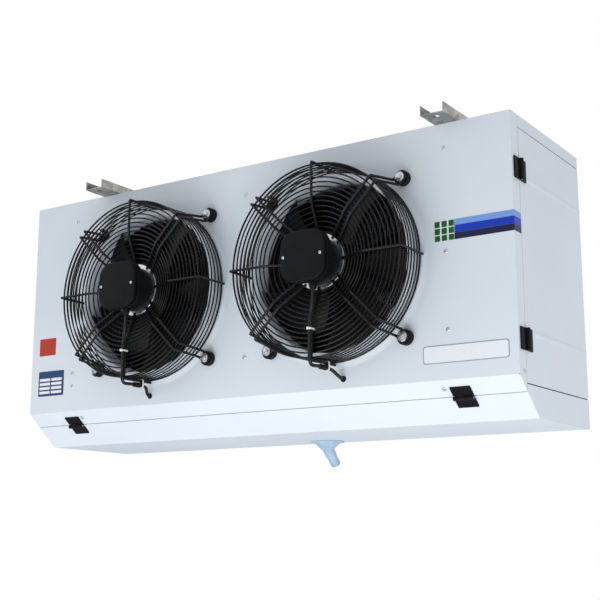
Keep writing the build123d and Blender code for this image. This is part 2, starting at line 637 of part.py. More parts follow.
# ---------------------------------------------------------------- fans, in the fan's own frame
def spoke_back(radius):
    """Height of the spokes' rear face at a radius."""
    if radius >= GUARD_SHOULDER:
        return GUARD_FRONT - SPOKE_WIRE / 2
    run, rise = GUARD_SHOULDER - GUARD_HUB - GUARD_HUB_WIDTH / 2, GUARD_FRONT - HUB_CENTRE
    centre = GUARD_FRONT - (GUARD_SHOULDER - radius) * rise / run
    return centre - SPOKE_WIRE / 2 * hypot(run, rise) / run


def wire_ring(radius, front, sides):
    """One ring of the guard, by the height of its front."""
    ring = prism(radius + RING_WIRE / 2, sides, RING_WIRE, radius - RING_WIRE / 2)
    return Pos(0, 0, front - RING_WIRE) * ring


def bent_wire(points, beside):
    """A square wire in a radial plane, through points of radius and height, beside the radius."""
    half = SPOKE_WIRE / 2
    above = fold_line(points, half)[len(points):]
    below = fold_line(points, -half)[len(points):]
    plane = Plane(origin=(0, beside + half, 0), x_dir=(1, 0, 0), z_dir=(0, -1, 0))
    return extrude(plane * outline(above + below[::-1]), SPOKE_WIRE)


def arm_eye():
    """The turned end of a mounting arm, half round its bolt."""
    middle = PAIR_PITCH / 2
    turn = [radians(-90 + 180 * i / EYE_CHORDS) for i in range(EYE_CHORDS + 1)]
    outer = [((middle + SPOKE_WIRE / 2) * cos(a), (middle + SPOKE_WIRE / 2) * sin(a)) for a in turn]
    inner = [((middle - SPOKE_WIRE / 2) * cos(a), (middle - SPOKE_WIRE / 2) * sin(a)) for a in turn]
    face = outline(outer + inner[::-1])
    return Pos(ARM_EYE, 0, SPACER_HEIGHT) * extrude(face, SPOKE_WIRE)


def fan_guard():
    """Wire basket: a hub, four spokes, four double arms and the rings, each touching at its welds."""
    start = GUARD_HUB + GUARD_HUB_WIDTH / 2
    spoke = [(start, HUB_CENTRE), (GUARD_SHOULDER, GUARD_FRONT), (SPOKE_CORNER, GUARD_FRONT),
             (SPOKE_CORNER, GUARD_REAR - RING_WIRE / 2)]
    arm = [(start, HUB_CENTRE), (GUARD_SHOULDER, GUARD_FRONT), (SPOKE_CORNER, GUARD_FRONT),
           (ARM_KNEE, ARM_FOOT), (ARM_EYE, ARM_FOOT)]
    hub = Pos(0, 0, FLANGE_FRONT) * prism(
        GUARD_HUB + GUARD_HUB_WIDTH, HUB_SIDES, SPOKE_WIRE, GUARD_HUB)
    single = bent_wire(spoke, 0)
    pair = bent_wire(arm, PAIR_PITCH / 2) + bent_wire(arm, -PAIR_PITCH / 2) + arm_eye()
    frame = [hub]
    for angle in ARM_ANGLES:
        frame.append(Rot(0, 0, angle) * pair - hub)
        frame.append(Rot(0, 0, angle + 45) * single - hub)
    first, last = spoke_back(GUARD_RADIUS), GUARD_REAR + RING_WIRE / 2
    step = (first - last) / (GUARD_SIDE_RINGS - 1)
    rings = [wire_ring(GUARD_RADIUS, first - i * step, RING_SIDES) for i in range(GUARD_SIDE_RINGS)]
    for radius in GUARD_FACE_RINGS:
        rings.append(wire_ring(radius, spoke_back(radius - RING_WIRE / 2), FACE_RING_SIDES))
    return solids(frame + rings)


def rounded_square(z, height):
    """A slab of the motor cap's outline, its corners rounded by short chords."""
    middle = CAP_SIZE / 2 - CAP_CORNER
    points = []
    for quarter in range(4):
        start = 90 * quarter
        x = middle if quarter in (0, 3) else -middle
        y = middle if quarter in (0, 1) else -middle
        for i in range(CAP_CHORDS + 1):
            turn = radians(start + 90 * i / CAP_CHORDS)
            points.append((x + CAP_CORNER * cos(turn), y + CAP_CORNER * sin(turn)))
    return Pos(0, 0, z) * extrude(outline(points), height)


def motor_stator():
    """Fixed half of the external-rotor motor: flange, body and the cap's base, bored for the shaft."""
    base = FLANGE_FRONT - FLANGE_THICK
    body = Pos(0, 0, base) * prism(FLANGE_RADIUS, MOTOR_SIDES, FLANGE_THICK)
    body += Pos(0, 0, FLANGE_FRONT) * prism(MOTOR_RADIUS, MOTOR_SIDES, HUB_FRONT - FLANGE_FRONT)
    body += rounded_square(HUB_FRONT, CAP_BASE)
    return body - Pos(0, 0, base) * prism(BEARING_RADIUS, BEARING_SIDES, HUB_FRONT - base)


def motor_bearings():
    """The two bearings of one motor, rear and front."""
    bore = around(SHAFT_RADIUS + RUNNING_FIT, BEARING_SIDES)
    ring = prism(BEARING_RADIUS, BEARING_SIDES, BEARING_WIDTH, bore)
    return [Pos(0, 0, z) * ring for z in (FLANGE_FRONT - FLANGE_THICK, HUB_FRONT - BEARING_WIDTH)]


def motor_cap():
    """Screwed lid of the motor's terminal cap."""
    return rounded_square(CAP_FRONT - CAP_LID, CAP_LID)


def rotor():
    """Rotating bell of the motor, bored for its shaft."""
    front = FLANGE_FRONT - FLANGE_THICK - ROTOR_GAP
    bell = Pos(0, 0, ROTOR_BACK) * prism(MOTOR_RADIUS, MOTOR_SIDES, front - ROTOR_BACK)
    bore = prism(SHAFT_RADIUS, BEARING_SIDES, front - ROTOR_BACK)
    return bell - Pos(0, 0, ROTOR_BACK + SHAFT_SEAT) * bore


def shaft():
    """Motor shaft, fixed in the rotor and carried by the bearings."""
    back = ROTOR_BACK + SHAFT_SEAT
    return Pos(0, 0, back) * prism(SHAFT_RADIUS, BEARING_SIDES, HUB_FRONT - SHAFT_SHORT - back)


def fan_blade():
    """A sickle-shaped blade of folded flats that leaves the hub along X."""
    upper = [(offset, height + BLADE_THICK) for offset, height in BLADE_FOLDS]
    section = outline(list(BLADE_FOLDS) + upper[::-1])
    reach = BLADE_LEAD[-1][1]
    sheet = extrude(Plane.YZ.offset(MOTOR_RADIUS) * section, reach - MOTOR_RADIUS)
    lead = [(radius, offset) for offset, radius in BLADE_LEAD]
    trail = [(radius, offset) for offset, radius in BLADE_TRAIL]
    plan = extrude(Plane.XY.offset(-reach) * outline(lead + trail[::-1]), 2 * reach)
    rim = Pos(0, 0, -reach) * prism(BLADE_TIP, MOTOR_SIDES, 2 * reach, MOTOR_RADIUS + IMPELLER_RING / 2)
    return sheet & plan & rim


def impeller():
    """Hub ring pressed on the rotor, with its blades."""
    height = IMPELLER_RING_FRONT - IMPELLER_RING_BACK
    wheel = Pos(0, 0, IMPELLER_RING_BACK) * prism(
        MOTOR_RADIUS + IMPELLER_RING, MOTOR_SIDES, height, MOTOR_RADIUS)
    blade = fan_blade()
    for i in range(BLADE_COUNT):
        wheel += Rot(0, 0, 360 * i / BLADE_COUNT) * blade
    return wheel


def arm_place(angle):
    """A mounting arm's bolt, in the fan's own frame."""
    return Rot(0, 0, angle) * Pos(ARM_EYE, 0, 0)


def guard_spacer():
    """Rubber spacer between the panel and a mounting arm."""
    return prism(SPACER_RADIUS, SPACER_SIDES, SPACER_HEIGHT, BOLT_SIZE / 2 + 0.5, 6)


def guard_bolt():
    """Bolt and washer that hold a mounting arm, screwed into the panel."""
    seat = SPACER_HEIGHT + SPOKE_WIRE
    head = Pos(0, 0, seat + WASHER_HEIGHT) * prism(BOLT_HEAD / sqrt(3), 6, BOLT_HEAD_HEIGHT)
    washer = Pos(0, 0, seat) * prism(WASHER_RADIUS, SPACER_SIDES, WASHER_HEIGHT)
    grip = Pos(0, 0, -2 * SHEET) * prism(BOLT_SIZE / 2, 4, seat + 2 * SHEET)
    return head + washer + grip


# ---------------------------------------------------------------- motor cables, in the fan's own frame
def socket_place(index):
    """Where a cable enters the panel, in the fan's own frame."""
    return Pos(CABLE_ENTRIES[index], -SOCKET_AT, 0)


def cable_route(entry):
    """Corners of a motor cable: out of its gland, down the spoke, back under it, into the panel."""
    return [
        (GLAND_AT, -GLAND_END, CABLE_DEPTH),
        (GLAND_AT, -GLAND_END - 18, CABLE_DEPTH),
        (1, -116, OVER_SPOKE + 0.5),
        (0, -172, OVER_SPOKE),
        (0, -UNDER_SPOKE - 2, OVER_SPOKE + 1),
        (0, -UNDER_SPOKE, SLEEVE_ENDS[1] + 10),
        (0, -UNDER_SPOKE, 22),
        (entry, -SOCKET_AT, 14),
        (entry, -SOCKET_AT, SOCKET_RIM),
    ]


def cable_radii(entry):
    """Radius of each bend: 0.45 of its shorter run, over the tangent of half the turn."""
    points = [Vector(*p) for p in cable_route(entry)]
    runs = [b - a for a, b in zip(points, points[1:])]
    radii = []
    for before, after in zip(runs, runs[1:]):
        turn = radians(before.get_angle(after))
        radii.append(0.45 * min(before.length, after.length) / tan(turn / 2))
    return radii


def motor_cable(entry):
    """The motor's cable, whole, from its gland to the socket in the panel."""
    path = FilletPolyline(*cable_route(entry), radius=cable_radii(entry))
    start = Plane(origin=path @ 0, z_dir=path % 0)
    return sweep(start * RegularPolygon(CABLE / 2, CABLE_SIDES), path=path)


def cable_gland():
    """Gland under the cap's base."""
    place = Pos(GLAND_AT, -CAP_SIZE / 2, CABLE_DEPTH) * Rot(90, 0, 0)
    return place * prism(GLAND_RADIUS, 8, GLAND_LENGTH)


def cable_socket():
    """Socket in the panel that the cable runs into, from the panel's front face."""
    rim = prism(SOCKET_RADIUS, SOCKET_SIDES, SOCKET_RIM)
    neck = Pos(0, 0, -SHEET) * prism(SOCKET_NECK, SOCKET_SIDES, SHEET)
    inner = Pos(0, 0, -SHEET - SOCKET_DEPTH) * prism(SOCKET_BODY, SOCKET_SIDES, SOCKET_DEPTH)
    return rim + neck + inner


def cable_sleeve():
    """Black sleeve on the cable's straight run under the basket."""
    low, high = SLEEVE_ENDS
    bore = around(CABLE / 2 + RUNNING_FIT, CABLE_SIDES)
    return Pos(0, -UNDER_SPOKE, low) * prism(SLEEVE_RADIUS, 8, high - low, bore, CABLE_SIDES)


def tie_band(height):
    """A rectangular band of nylon round a cable and a spoke, centred on the origin."""
    inner = (max(CABLE, SPOKE_WIRE) + 2 * TIE_CLEAR, height + 2 * TIE_CLEAR)
    outer = Rectangle(inner[0] + 2 * TIE_BAND, inner[1] + 2 * TIE_BAND)
    return Pos(0, 0, -TIE_WIDTH / 2) * extrude(outer - Rectangle(*inner), TIE_WIDTH)


def front_tie():
    """Tie that holds the cable on the lower spoke's face."""
    low, high = GUARD_FRONT - SPOKE_WIRE / 2, OVER_SPOKE + CABLE / 2 + 0.6
    place = Pos(0.6, -FRONT_TIE_AT, (low + high) / 2) * Rot(90, 0, 0)
    return place * tie_band(high - low)


def rear_tie():
    """Tie that holds the cable under the lower spoke's run to the back."""
    near, far = SPOKE_CORNER - SPOKE_WIRE / 2, UNDER_SPOKE + CABLE / 2
    return Pos(0.3, -(near + far) / 2, REAR_TIE_AT) * tie_band(far - near)


# ---------------------------------------------------------------- coil and refrigerant pipes
def tube_place(row, level):
    """Centre of a coil tube: rows count from the fans to the back, levels from the bottom."""
    y = COIL_FRONT + (row + 0.5) * ROW_PITCH
    z = TOP - COIL_TOP - (LEVELS - level - 0.5) * TUBE_PITCH
    return y, z


def fin_pack():
    """Aluminium fins across the coil."""
    span = PLATE_RIGHT - PLATE_LEFT - 2 * PLATE
    count = int(span // FIN_PITCH)
    margin = (span - (count - 1) * FIN_PITCH) / 2
    high = TOP - COIL_TOP
    low = high - LEVELS * TUBE_PITCH
    first = PLATE_LEFT + PLATE + margin
    return solids(
        block(first + i * FIN_PITCH - FIN_THICK / 2, first + i * FIN_PITCH + FIN_THICK / 2,
              COIL_FRONT, COIL_REAR, low, high) for i in range(count))


def along_x(x0, x1, y, z, radius, sides):
    """A many-sided bar along X."""
    return Plane(origin=(x0, y, z), x_dir=(0, 1, 0), z_dir=(1, 0, 0)).location * prism(
        radius, sides, x1 - x0)


def coil_tubes():
    """Straight coil tubes, from outside one end plate to outside the other."""
    ends = (PLATE_LEFT - BEND_STRAIGHT, PLATE_RIGHT + BEND_STRAIGHT)
    return solids(along_x(*ends, *tube_place(row, level), TUBE / 2, TUBE_SIDES)
                  for row in range(ROWS) for level in range(LEVELS))


def return_bend(x, side, first, second):
    """A U-bend between two tube ends, bulging to one side."""
    y0, z0 = tube_place(*first)
    y1, z1 = tube_place(*second)
    radius = hypot(y1 - y0, z1 - z0) / 2
    corner = radius / cos(pi / (2 * BEND_CORNERS))
    path = [(x, y0, z0)]
    for i in range(BEND_CORNERS):
        turn = pi * (i + 0.5) / BEND_CORNERS
        share = (1 - cos(turn) * corner / radius) / 2
        path.append((x + side * corner * sin(turn), y0 + share * (y1 - y0), z0 + share * (z1 - z0)))
    path.append((x, y1, z1))
    start = Plane(origin=path[0], x_dir=(0, 1, 0), z_dir=(side, 0, 0))
    return sweep(start * RegularPolygon(TUBE / 2, TUBE_SIDES), path=Polyline(*path),
                 transition=Transition.RIGHT)


def return_bends():
    """U-bends that join the tubes into circuits of two levels each."""
    bends = []
    left, right = PLATE_LEFT - BEND_STRAIGHT, PLATE_RIGHT + BEND_STRAIGHT
    for low in range(0, LEVELS, 2):
        for row in range(ROWS):
            bends.append(return_bend(left, -1, (row, low), (row, low + 1)))
        for row in range(ROWS - 1):
            level = low + 1 - row % 2
            bends.append(return_bend(right, 1, (row, level), (row + 1, level)))
    return solids(bends)


def circuit_ends(row):
    """Open tube ends on the right: inlets in the first row, outlets in the last."""
    level = 0 if row == 0 else 1
    return [tube_place(row, low + level) for low in range(0, LEVELS, 2)]


def suction_header():
    """Vertical header with a stub to each circuit's outlet."""
    outlets = circuit_ends(ROWS - 1)
    low, high = outlets[0][1] - HEADER_MARGIN, outlets[-1][1] + HEADER_MARGIN
    header = Pos(HEADER_X, HEADER_Y, low) * prism(HEADER_RADIUS, HEADER_SIDES, high - low)
    for y, z in outlets:
        header += along_x(PLATE_RIGHT + BEND_STRAIGHT, HEADER_X, y, z, TUBE / 2, TUBE_SIDES)
    return header


def stub_pipe(x, start, z, radius):
    """A pipe that runs back out of the casing, with a stop bead before its plain end."""
    stop = PIPE_END - PIPE_SPIGOT
    pipe = Pos(x, stop, z) * Rot(90, 0, 0) * prism(around(radius, SLEEVE_SIDES), SLEEVE_SIDES, stop - start)
    bead = Pos(x, stop, z) * Rot(90, 0, 0) * prism(radius + BEAD_OUT, SLEEVE_SIDES, BEAD_WIDTH)
    end = Pos(x, stop + PIPE_SPIGOT / 2, z) * Rot(90, 0, 0) * Cylinder(radius, PIPE_SPIGOT)
    return pipe + bead + end


def suction_line():
    """Suction pipe from the header out through the rear plate."""
    start = HEADER_Y + HEADER_RADIUS * cos(2 * pi / HEADER_SIDES)
    return stub_pipe(HEADER_X, start, TOP - SUCTION_LEVEL, SUCTION_PIPE)


def liquid_distributor():
    """Brass cone that shares the liquid among the circuits."""
    foot = DISTRIBUTOR_Z - DISTRIBUTOR_HEIGHT
    cone = turned([(DISTRIBUTOR_FOOT, 0), (DISTRIBUTOR_TOP, DISTRIBUTOR_HEIGHT)], HEADER_SIDES)
    return Pos(DISTRIBUTOR_X, DISTRIBUTOR_Y, foot) * cone


def liquid_line():
    """Liquid pipe from the back of the casing to the distributor."""
    foot = DISTRIBUTOR_Z - DISTRIBUTOR_HEIGHT
    x, y = DISTRIBUTOR_X, DISTRIBUTOR_Y
    inner = tube_along([
        (x, y, foot), (x, y, LIQUID_Z + LIQUID_BEND), (x, y + LIQUID_BEND, LIQUID_Z),
        (x, y + 4 * LIQUID_BEND, LIQUID_Z)], LIQUID_PIPE, 8)
    return inner + stub_pipe(x, y + 3 * LIQUID_BEND, LIQUID_Z, LIQUID_PIPE)


def feeder_tubes():
    """Small tubes from the distributor to the circuits' inlets, each on its own height and line."""
    top = DISTRIBUTOR_Z
    upright_x = PLATE_RIGHT + FEEDER_DROP_OUT
    end = PLATE_RIGHT + BEND_STRAIGHT
    tubes = []
    for i, ((y, z), (dx, dy)) in enumerate(zip(circuit_ends(0), ((-1, -1), (1, -1), (1, 1), (-1, 1)))):
        x0 = DISTRIBUTOR_X + dx * FEEDER_SPREAD
        y0 = DISTRIBUTOR_Y + dy * FEEDER_SPREAD
        turn = top + FEEDER_RISE * (i + 0.6)
        upright_y = DISTRIBUTOR_Y - FEEDER_STEP * (i - 1 / 3)
        tubes.append(tube_along([
            (x0, y0, top), (x0, y0, turn), (upright_x, upright_y, turn), (upright_x, upright_y, z),
            (end + FEEDER_END, y, z), (end, y, z)], FEEDER / 2, 6))
    return solids(tubes)


def pipe_sleeves():
    """Rubber sleeves where the pipes leave the rear plate."""
    holes = ((HEADER_X, TOP - SUCTION_LEVEL, SUCTION_PIPE), (DISTRIBUTOR_X, LIQUID_Z, LIQUID_PIPE))
    rings = []
    for x, z, radius in holes:
        place = Pos(x, REAR_FACE + (SLEEVE_LENGTH - SHEET) / 2, z) * Rot(90, 0, 0)
        bore = around(radius, SLEEVE_SIDES)
        rings.append(place * prism(radius + PIPE_SLEEVE, SLEEVE_SIDES, SLEEVE_LENGTH, bore))
    return solids(rings)


def defrost_heaters():
    """Electric defrost rods between the first two tube rows."""
    y = COIL_FRONT + ROW_PITCH
    levels = [TOP - COIL_TOP - share * LEVELS * TUBE_PITCH for share in (0.25, 0.5, 0.75)]
    return solids(along_x(PLATE_LEFT - HEATER_OUT / 2, PLATE_RIGHT + HEATER_OUT, y, z, HEATER / 2, 6)
                  for z in levels)


def terminal_box():
    """Open box for the fan and heater wiring, on the right end plate."""
    x0, y0, z1 = PLATE_RIGHT, FRONT + BOX_AT, TOP - BOX_TOP
    shell = block(x0, x0 + BOX_WIDTH, y0, y0 + BOX_DEPTH, z1 - BOX_HEIGHT, z1)
    room = block(x0 + BOX_WALL, x0 + BOX_WIDTH + 1, y0 + BOX_WALL, y0 + BOX_DEPTH - BOX_WALL,
                 z1 - BOX_HEIGHT + BOX_WALL, z1 - BOX_WALL)
    return shell - room


def terminal_lid():
    """Lid of the terminal box."""
    x0, y0, z1 = PLATE_RIGHT + BOX_WIDTH, FRONT + BOX_AT, TOP - BOX_TOP
    return block(x0, x0 + BOX_WALL, y0, y0 + BOX_DEPTH, z1 - BOX_HEIGHT, z1)


# ---------------------------------------------------------------- nodes
def build():
    """Every node by name."""
    suction_hole = (HEADER_X, TOP - SUCTION_LEVEL, SUCTION_PIPE + PIPE_SLEEVE)
    liquid_hole = (DISTRIBUTOR_X, LIQUID_Z, LIQUID_PIPE + PIPE_SLEEVE)
    nodes = {
        "top_panel": top_panel(),
        "front_panel": front_panel(),
        "left_end_plate": end_plate(PLATE_LEFT, 1),
        "right_end_plate": end_plate(PLATE_RIGHT, -1),
        "fan_divider": fan_divider(),
        "left_rear_plate": rear_plate(PLATE_LEFT, LEFT, []),
        "right_rear_plate": rear_plate(PLATE_RIGHT, RIGHT, [suction_hole, liquid_hole]),
        "rear_rail": rear_rail(),
        "left_hanger_rail": hanger_rail(RAIL_CENTRES[0]),
        "right_hanger_rail": hanger_rail(RAIL_CENTRES[1]),
        "rail_bolts": rail_bolts(),
        "panel_screws": panel_screws(),
        "door_lock_screws": lock_screws(True),
        "pan_lock_screws": lock_screws(False),
        "fin_pack": fin_pack(),
        "coil_tubes": coil_tubes(),
        "return_bends": return_bends(),
        "suction_header": suction_header(),
        "suction_line": suction_line(),
        "liquid_distributor": liquid_distributor(),
        "liquid_line": liquid_line(),
        "feeder_tubes": feeder_tubes(),
        "pipe_sleeves": pipe_sleeves(),
        "defrost_heaters": defrost_heaters(),
        "terminal_box": terminal_box(),
        "terminal_lid": terminal_lid(),
        "drain_pan": drain_pan(),
        "drain_spout": drain_spout(),
        "drain_locknut": drain_locknut(),
        "pan_frame_leaves": solids(p * hinge_leaf(-1) for p in pan_hinge_places()),
        "pan_hinge_leaves": solids(p * hinge_leaf(1) for p in pan_hinge_places()),
        "pan_hinge_pins": solids(p * hinge_pin() for p in pan_hinge_places()),
    }
    frame_leaves, door_pins = [], []
    for name, side in (("left", -1), ("right", 1)):
        nodes[name + "_side_door"] = side_door(side)
        nodes[name + "_door_leaves"] = solids(p * hinge_leaf(1) for p in door_hinge_places(side))
        frame_leaves += [p * hinge_leaf(-1) for p in door_hinge_places(side)]
        door_pins += [p * hinge_pin() for p in door_hinge_places(side)]
    nodes["door_frame_leaves"] = solids(frame_leaves)
    nodes["door_hinge_pins"] = solids(door_pins)

    bearings, cap_screws, spacers, bolts = [], [], [], []
    cables, glands, sockets, sleeves, ties = [], [], [], [], []
    guard, stator, cap, bell, axle, wheel = (
        fan_guard(), motor_stator(), motor_cap(), rotor(), shaft(), impeller())
    for index, name in enumerate(("left", "right")):
        place, entry = fan_frame(index), CABLE_ENTRIES[index]
        nodes[name + "_fan_guard"] = place * guard
        nodes[name + "_motor_stator"] = place * stator
        nodes[name + "_motor_cap"] = place * cap
        nodes[name + "_rotor"] = place * bell
        nodes[name + "_shaft"] = place * axle
        nodes[name + "_impeller"] = place * wheel
        cables.append(place * motor_cable(entry))
        bearings += [place * ring for ring in motor_bearings()]
        cap_screws += [place * Pos(x, 0, CAP_FRONT) * screw(CAP_LID + 2, 3.5)
                       for x in (-CAP_SCREW_OFFSET, CAP_SCREW_OFFSET)]
        spacers += [place * arm_place(a) * guard_spacer() for a in ARM_ANGLES]
        bolts += [place * arm_place(a) * guard_bolt() for a in ARM_ANGLES]
        glands.append(place * cable_gland())
        sockets.append(place * socket_place(index) * cable_socket())
        sleeves.append(place * cable_sleeve())
        ties += [place * front_tie(), place * rear_tie()]
    nodes["motor_bearings"] = solids(bearings)
    nodes["cap_screws"] = solids(cap_screws)
    nodes["guard_spacers"] = solids(spacers)
    nodes["guard_bolts"] = solids(bolts)
    nodes["motor_cables"] = solids(cables)
    nodes["cable_glands"] = solids(glands)
    nodes["cable_sleeves"] = solids(sleeves)
    nodes["cable_ties"] = solids(ties)
    nodes["cable_sockets"] = solids(sockets)
    return nodes


os.makedirs("parts", exist_ok=True)
for node, shape in build().items():
    export_step(shape, "parts/" + node + ".step")
for cable_entry in CABLE_ENTRIES:
    print("cable bend radii", [round(radius, 1) for radius in cable_radii(cable_entry)])
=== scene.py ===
import bpy
import bmesh
from math import hypot, pi, radians, sin, sqrt
from mathutils import Matrix, Vector


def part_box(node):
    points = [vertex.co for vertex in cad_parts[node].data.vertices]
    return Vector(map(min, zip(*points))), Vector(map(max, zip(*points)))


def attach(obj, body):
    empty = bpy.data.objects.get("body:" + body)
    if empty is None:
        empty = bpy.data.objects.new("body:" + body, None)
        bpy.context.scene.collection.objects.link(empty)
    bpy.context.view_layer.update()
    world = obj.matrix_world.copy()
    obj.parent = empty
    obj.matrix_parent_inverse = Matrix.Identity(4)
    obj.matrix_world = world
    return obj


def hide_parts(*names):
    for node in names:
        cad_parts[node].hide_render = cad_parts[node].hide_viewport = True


bl_info = {
    "name": "Walk-in Unit Cooler",
    "version": (1, 0, 0),
    "blender": (4, 5, 0),
    "location": "View3D > Sidebar > Unit Cooler",
    "description": "Dresses the unit cooler's packed model with detailed pieces and finishes",
    "category": "Object",
}

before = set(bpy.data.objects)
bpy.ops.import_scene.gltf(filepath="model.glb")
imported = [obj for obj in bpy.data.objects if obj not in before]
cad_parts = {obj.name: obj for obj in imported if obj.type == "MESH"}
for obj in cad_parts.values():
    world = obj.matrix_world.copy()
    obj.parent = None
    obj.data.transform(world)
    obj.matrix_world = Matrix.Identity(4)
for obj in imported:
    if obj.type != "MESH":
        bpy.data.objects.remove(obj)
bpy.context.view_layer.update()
MM = 0.001
SIDES = ("left", "right")

# Sizes in millimetres. Those of a fan: radii from its axis, heights before the front panel.
GUARD_RADIUS = 195.0
SPOKE_HEIGHT = 92.0          # centre line of the spokes over the guard's face
SHOULDER = 118.0             # the spokes slope down inside this radius
HUB_RADIUS = 52.5
HUB_HEIGHT = 64.0
FACE_END = 58.0              # no face ring inside this radius
RING_SLOPE = 0.43            # slope of the face rings inside the shoulder
SPOKE_CORNER = 200.0
REAR_RING = 8.0
ARM_HALF = 8.5               # half the distance between an arm's two wires
ARM_FOOT = 16.0
EYE_RADIUS = 225.0
ARM_ANGLES = (45, 135, 225, 315)
CAP_SIZE = 102.0
CAP_CORNER = 30.0
CAP_FRONT = 128.0
CAP_SCREW = 43.0
GLAND = (14.0, 108.5)        # the cable's place beside the axis, and its height, at the motor
CABLE_BELOW = 209.1          # the cable's run under the guard, below the axis
SOCKET_BELOW = 228.0
CABLE_ENTRIES = {"left": -6.5, "right": 15.0}
FOLD_BELOW = 504.0           # from the casing's top to the fold of its lower front chamfer
CHAMFER_RUN = 84.5
CHAMFER_DROP = 73.0
LARGE_SCREW = 7.2            # the front face's screws are wider than this
BLADE_ROOT = 48.6
BLADE_TIP = 173.2
BLADE_HALF = 80.0            # half the width over which a blade's height is given

# The camera, in metres, radians and millimetres of lens.
CAMERA_PLACE = (1.3966, -2.1231, -0.7968)
CAMERA_TURN = (pi / 2 + 0.2029, 0, 0.5885)
CAMERA_LENS = 69.83


def linear(text):
    """An sRGB hex colour as linear red, green, blue and alpha."""
    parts = [int(text[i:i + 2], 16) / 255 for i in (1, 3, 5)]
    return [c / 12.92 if c <= 0.04045 else ((c + 0.055) / 1.055) ** 2.4 for c in parts] + [1.0]


# ---------------------------------------------------------------- settings
def length(name, default, description):
    """A length that a user may change, given in millimetres and kept in metres."""
    return bpy.props.FloatProperty(name=name, default=default * MM, min=0.0, precision=5,
                                   subtype="DISTANCE", unit="LENGTH", description=description)


def in_mm(value):
    """A kept length in millimetres."""
    return value / MM


def power(name, default, description):
    """The power of a lamp that a user may change."""
    return bpy.props.FloatProperty(name=name, default=default, min=0.0, subtype="POWER",
                                   description=description)


def colour(name, text, description):
    """A colour that a user may change."""
    return bpy.props.FloatVectorProperty(
        name=name, default=linear(text), size=4, subtype="COLOR", min=0.0, max=1.0,
        description=description)


class CoolerSheetSettings(bpy.types.PropertyGroup):
    """Casing sheets, rails and hinges."""
    coat: colour("Coat", "#dfe6ed", "Powder coat of the casing")
    edge: length("Edge", 0.5, "Rounding of sheet edges")
    leaf_edge: length("Leaf edge", 1.2, "Rounding of the hinge leaves")
    spangle: length("Spangle", 14.0, "Size of the zinc crystals on the rails")


class CoolerGuardSettings(bpy.types.PropertyGroup):
    """Wire guards."""
    ring_wire: length("Ring wire", 3.2, "Diameter of the rings")
    rim_wire: length("Rim wire", 4.0, "Diameter of the outer ring")
    spoke_wire: length("Spoke wire", 5.6, "Diameter of the spokes and arms")
    face_pitch: length("Face pitch", 9.6, "Spacing of the rings on the face")
    side_rings: bpy.props.IntProperty(name="Side rings", default=7, min=2,
                                      description="Rings down the side")


class CoolerFanSettings(bpy.types.PropertyGroup):
    """Impellers and motors."""
    blades: bpy.props.IntProperty(name="Blades", default=5, min=2,
                                  description="Blades of each impeller")
    blade: length("Blade", 1.8, "Thickness of a blade")
    lid_round: length("Lid rounding", 4.5, "Rounding of the motor cap's front edge")
    cable: length("Cable", 7.0, "Diameter of the motor cable")


class CoolerCoilSettings(bpy.types.PropertyGroup):
    """Finned coil and pipes."""
    fin_pitch: length("Fin pitch", 4.2, "Spacing of the fins")
    fin: length("Fin", 0.3, "Thickness of a fin")
    tube: length("Tube", 15.9, "Diameter of the coil tubes")


class CoolerLabelSettings(bpy.types.PropertyGroup):
    """Plain bands and plates on the front."""
    sky: colour("Light band", "#7ba0e2", "Upper band")
    mid: colour("Middle band", "#1238b4", "Middle band")
    navy: colour("Dark band", "#14173f", "Lower band")
    green: colour("Blocks", "#075a1c", "Blocks at the end of the bands")
    red: colour("Small plate", "#b8392a", "Small plate at the left")
    blue: colour("Data plate", "#23406e", "Data plate at the left")


class CoolerStageSettings(bpy.types.PropertyGroup):
    """Floor, lights and camera."""
    floor: bpy.props.FloatProperty(name="Floor", default=-2.6, subtype="DISTANCE", unit="LENGTH",
                                   description="Height of the floor")
    ambient: bpy.props.FloatProperty(name="Ambient", default=0.55, min=0.0, description="World light")
    below: power("Low light", 47.0, "Soft light from low in front")
    key: power("Key light", 4.0, "Soft light from the front left")
    side: power("Side light", 26.0, "Soft light on the right end")


# ---------------------------------------------------------------- mesh helpers
MILLI = Matrix.Scale(MM, 4)


def at(*place):
    """A move to a place."""
    return Matrix.Translation(place)


def turned(degrees, axis):
    """A turn about an axis."""
    return Matrix.Rotation(radians(degrees), 4, axis)


def merged(bm):
    """Merge doubles and turn the faces outwards."""
    bmesh.ops.remove_doubles(bm, verts=bm.verts[:], dist=1e-5)
    bmesh.ops.recalc_face_normals(bm, faces=bm.faces[:])
    return bm


def soften(bm, offset, segments=2, angle=30.0):
    """Round the edges that turn by more than an angle."""
    bm.normal_update()
    sharp = [e for e in bm.edges if len(e.link_faces) == 2 and e.calc_face_angle(0) > radians(angle)]
    if sharp:
        bmesh.ops.bevel(bm, geom=sharp, offset=offset, segments=segments, profile=0.5,
                        affect="EDGES", material=-1, clamp_overlap=True)
    return bm


def joined(parts):
    """One mesh from several, which are freed."""
    whole = bmesh.new()
    for part in parts:
        step = bpy.data.meshes.new("step")
        part.to_mesh(step)
        part.free()
        whole.from_mesh(step)
        bpy.data.meshes.remove(step)
    return whole


def piece(name, parts, material, body="casing", replaces=(), angle=40.0, flat=0.0):
    """One finished object from meshes in the row's frame, riding on a body. Faces wider than
    about twice flat are shaded flat."""
    whole = joined(parts)
    smooth = [not flat or f.calc_area() < flat * f.calc_perimeter() for f in whole.faces]
    mesh = bpy.data.meshes.new(name)
    whole.to_mesh(mesh)
    whole.free()
    mesh.set_sharp_from_angle(angle=radians(angle))
    mesh.polygons.foreach_set("use_smooth", smooth)
    mesh.materials.append(material)
    obj = bpy.data.objects.new(name, mesh)
    bpy.context.scene.collection.objects.link(obj)
    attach(obj, body)
    if replaces:
        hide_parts(*replaces)


